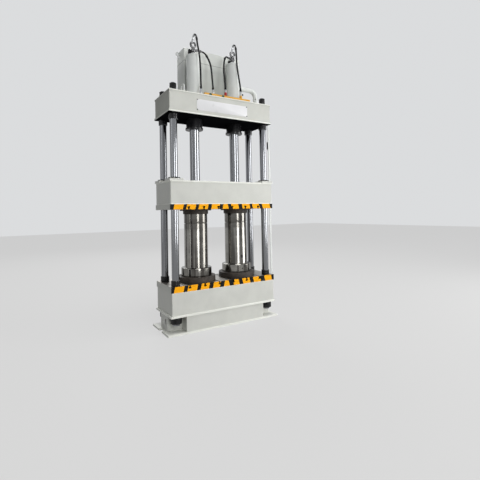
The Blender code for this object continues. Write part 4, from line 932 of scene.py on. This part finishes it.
# %% Unions
FITTING_LOW, BALL_Z, EYE_Z, SOCKET_LOW, SOCKET_TOP, OUTLET_Z = 3.9276, 3.9752, 4.0597, 4.0907, 4.1392, 3.9872
BALL_RADIUS = 0.037
OUTLETS = {"left": (-0.333, 1, 0.1308), "right": (0.333, -1, 0.0550)}
TO_THE_FRONT = (-0.42, -0.91, 0.0)
lift = np.linspace(math.radians(-52), math.radians(68), 14)
ball = np.stack([BALL_RADIUS * np.cos(lift), BALL_Z + BALL_RADIUS * np.sin(lift)], axis=-1)
hexagon = stepped(TIP, FITTING_LOW, [(0.034, FITTING_LOW + 0.018)], 0.002)
socket = soften([(TIP, SOCKET_LOW), (0.014, SOCKET_LOW), (0.021, 4.120), (0.021, 4.132), (0.0145, SOCKET_TOP),
                 (TIP, SOCKET_TOP)], 0.004)
collar = soften([(0.013, 0.030), (0.026, 0.030), (0.026, 0.0365), (0.022, 0.0395), (0.016, 0.0385),
                 (0.013, 0.034)], 0.002)
plug = soften([(TIP, 0.030), (0.0128, 0.030), (0.0128, 0.0355), (0.0075, 0.0355), (0.0070, 0.0325),
               (TIP, 0.0325)], 0.001)
for side, (x, way, reach_out) in OUTLETS.items():
    at, centre = (x, 0.0), (x, 0.0, BALL_Z)
    outlet = [(TIP, 0.0), (0.0150, 0.0), (0.0150, reach_out - 0.002), (0.0135, reach_out), (TIP, reach_out)]
    grids = [
        (turn(hexagon, at, 48, hexagonal), False),
        (turn(ball, at, 48), False),
        (turn([(0.014, 4.004), (0.014, 4.030)], at, 32), False),
        (hoop((x, 0.0, EYE_Z), 0.037, 0.0165, ALONG, UP), True),
        (facing(outlet, (x, 0, OUTLET_Z), (way, 0, 0), 32), False),
        (facing(collar, centre, TO_THE_FRONT, 40), True),
    ]
    nuts = [(reach_out - 0.034, reach_out - 0.001)] + ([(0.034, 0.068)] if side == "left" else [])
    for start, end in nuts:
        rim = stepped(0.0151, start, [(0.0205, end)], 0.0015)
        grids.append((facing(rim, (x, 0, OUTLET_Z), (way, 0, 0), 48, hexagonal), True))
    dress("top_fitting", side, grids, union_steel_with_painted_reflection)
    skin("union_socket_" + side, [(turn(socket, at, 40), False)], zinc)
    skin("union_plug_" + side, [(facing(plug, centre, TO_THE_FRONT, 32), False)], black_oxide)
print("unions:", len(OUTLETS))

# %% [markdown]
# ## Valve blocks
#
# A small black block stands at the left of each union. It is a drilled cube of steel with plugs
# in its drillings. A slab with eased rims gives the body, and each plug is a turned button.


# %% Valve blocks
def upright(foot, half, corner, height, ease):
    """A block that stands on a foot point, with rounded corners and eased rims."""
    return (slab(foot, ALONG, BACK, half, corner, eased_levels(height, ease)), False)


for side, x, height in (("left", -0.391, 0.080), ("right", 0.275, 0.052)):
    foot = np.array([x, 0.0, 3.8936])
    grids = [upright(foot, (0.018, 0.017), 0.003, height, 0.002)]
    grids += studs([foot + (0, 0, height)], UP, 0.0125, 0.0095, 32, hexagonal)
    grids += studs([foot + (0, -0.017, height * share) for share in (0.30, 0.72)], FORWARD, 0.0075, 0.004)
    grids += studs([foot + (-0.018, 0, height * 0.45)], (-1, 0, 0), 0.009, 0.006, 24, hexagonal)
    skin("valve_block_" + side, grids, black_oxide)
print("valve blocks:", len(SIDES))

# %% [markdown]
# ## Oil tank
#
# The tank is folded and welded from sheet, painted white, and stands on the rear of the crown.
# Its edges are folded, so they are rounder than those of thick plate. A weld seam runs round it
# a hand's breadth and a half below the top. A bevelled copy of the solid would keep its coarse
# ears, so the shell is a slab with eased rims, the seam a thin bar carried round it, and the
# ears are rings with a weld at the root. The colour is darker below the seam.

# %% Tank, seam and ears
TANK_X, TANK_Y, TANK_TOP, SEAM_Z = (-0.427, 0.532), (0.115, 0.405), 4.055, 3.865
TANK_CORNER = 0.012
SHEET_INSIDE_SOLID = 0.0018


def tank_finish(seam):
    """White paint that is darker below a weld seam, with the seam itself as a grey line."""
    made = finish("tank paint", (0.68, 0.70, 0.665), 0.38, cloud=0.04, cloud_size=3.0, speck=0.03)
    tree = made.node_tree
    height = own_place(tree)[3]
    darker_below_seam = ramp(tree, height, seam - 0.10, seam + 0.004, 0.52, 0.0)
    cover(made, calc(tree, "MAXIMUM", darker_below_seam, calc(tree, "COMPARE", height, seam, 0.0045)), (0.40, 0.42, 0.40))
    return made


tank_paint = tank_finish(SEAM_Z)
foot = middle_of("oil_tank")[0][2]
tank_middle = np.array([sum(TANK_X) / 2, sum(TANK_Y) / 2, foot])
tank_half = [0.5 * (end - start) - SHEET_INSIDE_SOLID for start, end in (TANK_X, TANK_Y)]
shell = upright(tank_middle, tank_half, TANK_CORNER, TANK_TOP - foot, 0.006)
dress("oil_tank", "", [shell], tank_paint)

outline = rectangle(tank_half, TANK_CORNER, 8)
seams = []
for share, height, bead in ((1.0, SEAM_Z, 0.0017), (0.994, foot + 0.002, 0.0026)):
    path = np.column_stack([outline * share + tank_middle[:2], np.full(len(outline), height)])
    seams.append((along(path, bead, 8, closed=True), True))
skin("tank_seams", seams, tank_paint)

ears = []
for x, way in zip(TANK_X, (-1, 1)):
    middle = np.array([x + way * 0.023, TANK_Y[1] - 0.093, TANK_TOP - 0.035])
    ears.append((hoop(middle, 0.023, 0.008, ALONG, UP), True))
    ears += studs([(x, middle[1], middle[2])], (way, 0, 0), 0.016, 0.004)
skin("tank_ears", ears, white_paint)
print("tank top at", TANK_TOP, "seam at", SEAM_Z)

# %% Hatch and filler cap
low, high, at = middle_of("tank_hatch")
lid = upright((*at, low[2]), (high[:2] - low[:2]) / 2, 0.012, high[2] - low[2], 0.002)
dress("tank_hatch", "", [lid], white_paint)
places = [(x, y) for x in (-0.115, -0.038, 0.038, 0.115) for y in (-0.070, 0.070)] + [(-0.115, 0), (0.115, 0)]
bolts = studs([(at[0] + x, at[1] + y, high[2]) for x, y in places], UP, 0.008, 0.007, 24, hexagonal)
skin("hatch_bolts", bolts, zinc)


def fluted(angle):
    """Factor for the radius of a grip with 24 flutes: 1 - 0.012 (1 + cos 24 a)."""
    return 1 - 0.012 * (1 + np.cos(angle * 24))


low, high, at, _ = round_solid("filler_cap")
grip = low + 0.014
cap = soften([(TIP, low), (0.024, low), (0.024, grip), (0.0315, grip + 0.004), (0.0315, high - 0.006),
              (0.027, high), (TIP, high)], 0.003)
dress("filler_cap", "", [(turn(cap, at, 96, fluted), False)], white_paint)
print("hatch bolts:", len(bolts))

# %% [markdown]
# ## Return pipe
#
# A wide white pipe leaves the right barrel's side, turns down and ends in a flange on the crown.
# A circle carried along a softened path gives the pipe. Its weld on the barrel is a thin bar that
# follows the line where two cylinders cross: at each angle it lies as far out as the barrel's
# circle reaches at that depth.

# %% Pipe, flange and welds
PIPE_RADIUS, PIPE_Z, PIPE_X, CROWN_TOP = 0.0365, 3.540, 0.742, 3.2533
WELD_RADIUS, CYLINDER_X, BARREL_RADIUS = 0.0375, 0.333, 0.098
FLANGE_TOP = CROWN_TOP + 0.012
bend = soften([(0.425, 0, PIPE_Z), (PIPE_X, 0, PIPE_Z), (PIPE_X, 0, CROWN_TOP + 0.004)], 0.117, 16)
around = np.arange(48) / 48 * math.tau
saddle_y, saddle_z = WELD_RADIUS * np.cos(around), WELD_RADIUS * np.sin(around)
saddle = np.column_stack([CYLINDER_X + np.sqrt(BARREL_RADIUS**2 - saddle_y**2), saddle_y, PIPE_Z + saddle_z])
flange = soften([(0.0372, CROWN_TOP), (0.055, CROWN_TOP), (0.055, FLANGE_TOP), (0.041, FLANGE_TOP),
                 (0.0372, CROWN_TOP + 0.017)], 0.0015)
grids = [(along(bend, PIPE_RADIUS, 48), False), (along(saddle, 0.004, 10, closed=True), True),
         (turn(flange, (PIPE_X, 0), 64), True)]
dress("return_pipe", "", grids, white_paint)
spots = [(PIPE_X + 0.0478 * math.cos(a), 0.0478 * math.sin(a), FLANGE_TOP) for a in np.radians([45, 135, 225, 315])]
small = studs(spots, UP, 0.0075, 0.006, 24, hexagonal)
small += studs([(PIPE_X - 0.0150, -0.0320, 3.405)], TO_THE_FRONT, 0.0085, 0.006, 24, hexagonal)
skin("pipe_screws", small, black_oxide)
print("pipe bend points:", len(bend))

# %% [markdown]
# ## Distribution bar and its ports
#
# The yellow bar is square steel with drillings: two plugs in its front, three adaptors on its top
# for the hoses, and beside it a stub for the fourth. Each adaptor is a stack of hexagons and
# collars, so one function turns any list of them.

# %% Bar, plugs and adaptors
BAR_Y, BAR_FRONT, BAR_TOP = -0.200, -0.225, 3.3083
RED_HEIGHT, YELLOW_HEIGHT = 0.053, 0.044


def stack(x, low, parts):
    """Hexagons and rounds on each other, from (height, radius, is it a hexagon) triples."""
    grids = []
    for height, radius, six in parts:
        rim = stepped(TIP, low, [(radius, low + height)], 0.0015)
        grids.append((turn(rim, (x, BAR_Y), 48, hexagonal if six else None), False))
        low += height
    return grids


bar = upright((0.119, BAR_Y, CROWN_TOP), (0.381, 0.025), 0.003, 0.055, 0.004)
dress("distribution_bar", "", [bar], yellow_paint)
ports = stack(-0.118, BAR_TOP, [(0.018, 0.0225, True), (0.012, 0.0150, False), (0.029, 0.0195, True)])
ports += stack(0.087, BAR_TOP + RED_HEIGHT, [(0.012, 0.0165, False), (0.028, 0.0195, True)])
ports += stack(0.349, BAR_TOP + YELLOW_HEIGHT, [(0.024, 0.0170, False), (0.035, 0.0195, True)])
skin("bar_adaptors", ports, zinc)
skin("red_adaptor", stack(0.087, BAR_TOP, [(RED_HEIGHT, 0.0215, True)]), red_paint)
skin("yellow_adaptor", stack(0.349, BAR_TOP, [(YELLOW_HEIGHT, 0.0240, True)]), yellow_paint)
stub = stack(-0.310, CROWN_TOP, [(0.022, 0.0240, True), (0.045, 0.0155, False), (0.031, 0.0195, True)])
dress("port_stub", "", stub, zinc)
plugs = studs([(x, BAR_FRONT, 3.285) for x in (-0.172, 0.030)], FORWARD, 0.0225, 0.007, 40, hexagonal)
skin("green_plugs", plugs, green_plug)
screws = studs([(0.360, BAR_Y, BAR_TOP + 0.064)], ALONG, 0.0125, 0.030, 32, hexagonal)
screws += studs([(x, BAR_FRONT, 3.262) for x in (-0.235, 0.170, 0.470)], FORWARD, 0.0045, 0.004, 20)
skin("bar_screws", screws, black_oxide)
print("adaptors: 3, plugs:", len(plugs))

# %% [markdown]
# ## Lifting bows
#
# Two bent bars on the crown take a crane's hook. Each is a path of four corners, softened, with a
# circle carried along it, and stands on two small welded pads.

# %% Bows
BOW_HALF, BOW_RISE = 0.050, 0.123
pad = soften([(TIP, CROWN_TOP), (0.0140, CROWN_TOP), (0.0125, CROWN_TOP + 0.004), (0.0088, CROWN_TOP + 0.010),
              (TIP, CROWN_TOP + 0.010)], 0.001)
for side, x, y in (("left", -0.575, -0.170), ("right", 0.795, -0.140)):
    front, back = y - BOW_HALF, y + BOW_HALF
    corners = [(x, front, CROWN_TOP), (x, front, CROWN_TOP + BOW_RISE), (x, back, CROWN_TOP + BOW_RISE),
               (x, back, CROWN_TOP)]
    grids = [(along(soften(corners, 0.034, 10), 0.009, 24), False)]
    grids += [(turn(pad, (x, foot), 32), False) for foot in (front, back)]
    dress("lifting_bow", side, grids, white_paint)
print("bows:", len(SIDES))

# %% [markdown]
# ## Switch post and switch
#
# A flat bar runs up the right side, on brackets from bed and crown. It carries the switch that
# tells where the slide is. The bar's solid already has the right shape, so its edges are eased.
# The switch gets what a sensor has: a cap with a ring, two clamping screws and a cable gland.

# %% Post and switch
eased("switch_post", 0.0008, white_paint)
low, high, at = middle_of("proximity_switch")
face = np.array([at[0], low[1], 0.0])
details = [upright((*at, low[2]), (high[:2] - low[:2]) / 2, 0.004, high[2] - low[2], 0.003)]
details += studs([face + (0, 0, high[2] - 0.024)], FORWARD, 0.0120, 0.0015, 32)
details += studs([face + (x, 0, low[2] + 0.040) for x in (-0.008, 0.008)], FORWARD, 0.0035, 0.0012, 20)
dress("proximity_switch", "", details, black_plastic)
gland = soften([(TIP, 0), (0.0105, 0), (0.0105, 0.012), (0.0080, 0.015), (0.0075, 0.022), (TIP, 0.022)], 0.001)
skin("switch_gland", [(facing(gland, (*at, low[2]), (0, 0, -1), 32, hexagonal), False)], zinc)
print("switch height", round(high[2] - low[2], 3))

# %% [markdown]
# ## Bare name plate
#
# A white enamelled plate is screwed to the crown's front. It stays bare. It is a thin slab that
# stands upright: its first direction runs along X and its second up, so its normal points to the
# front. Four dark screws hold its corners.

# %% Plate and screws
FRONT = -0.292
PLATE_HALF, PLATE_THICKNESS = (0.409, 0.0765), 0.0030
levels = [(0.0, 0.0), (0.0, 0.0020), (0.0003, 0.0027), (0.0010, PLATE_THICKNESS)]
plate = slab((-0.0105, FRONT, 3.0935), ALONG, UP, PLATE_HALF, 0.006, levels)
skin("name_plate", [(plate, False)], plate_white)
places = ((-0.411, 3.163), (-0.412, 3.024), (0.389, 3.162), (0.390, 3.025))
screws = studs([(x, FRONT - PLATE_THICKNESS, z) for x, z in places], FORWARD, 0.0075, 0.0040, 32)
skin("plate_screws", screws, black_oxide)
print("plate", PLATE_HALF[0] * 2, "m wide, screws:", len(screws))

# %% [markdown]
# ## Port pad on the right block
#
# The right block has a square pad on its flange with a shallow round port, and a small plug above
# it. The pad is a slab whose last rows are circles: the front face runs inwards to the port's
# rim and down to its floor, all in one surface.

# %% Pad and plug
PAD_OUT, PAD_THICKNESS, FLANGE_RADIUS = 0.195, 0.0385, 0.2175
turned_by = math.radians(-8)
outward = np.array([math.sin(turned_by), -math.cos(turned_by), 0.0])
across = np.array([math.cos(turned_by), math.sin(turned_by), 0.0])
pad_middle = np.array([CYLINDER_X, 0.0, 0.7702]) + outward * PAD_OUT
levels = [(0, 0), (0, 0.0365), (0.0006, 0.0380), (0.0020, PAD_THICKNESS)]
port = [(0.0175, PAD_THICKNESS), (0.016, 0.0370), (0.016, 0.0150)]
skin("port_pad", [(slab(pad_middle, across, UP, (0.066, 0.050), 0.004, levels, port), False)], block_steel)
marks = [(facing(button(0.022, 0.006, 0.002), (CYLINDER_X, -0.166, 0.940), FORWARD, 40), False)]
marks += studs([pad_middle + outward * PAD_THICKNESS + across * 0.040 + (0, 0, 0.034)], outward, 0.007, 0.004)
skin("block_plugs", marks, black_oxide)
print("pad stands out", round(PAD_OUT + PAD_THICKNESS - FLANGE_RADIUS, 3), "m")
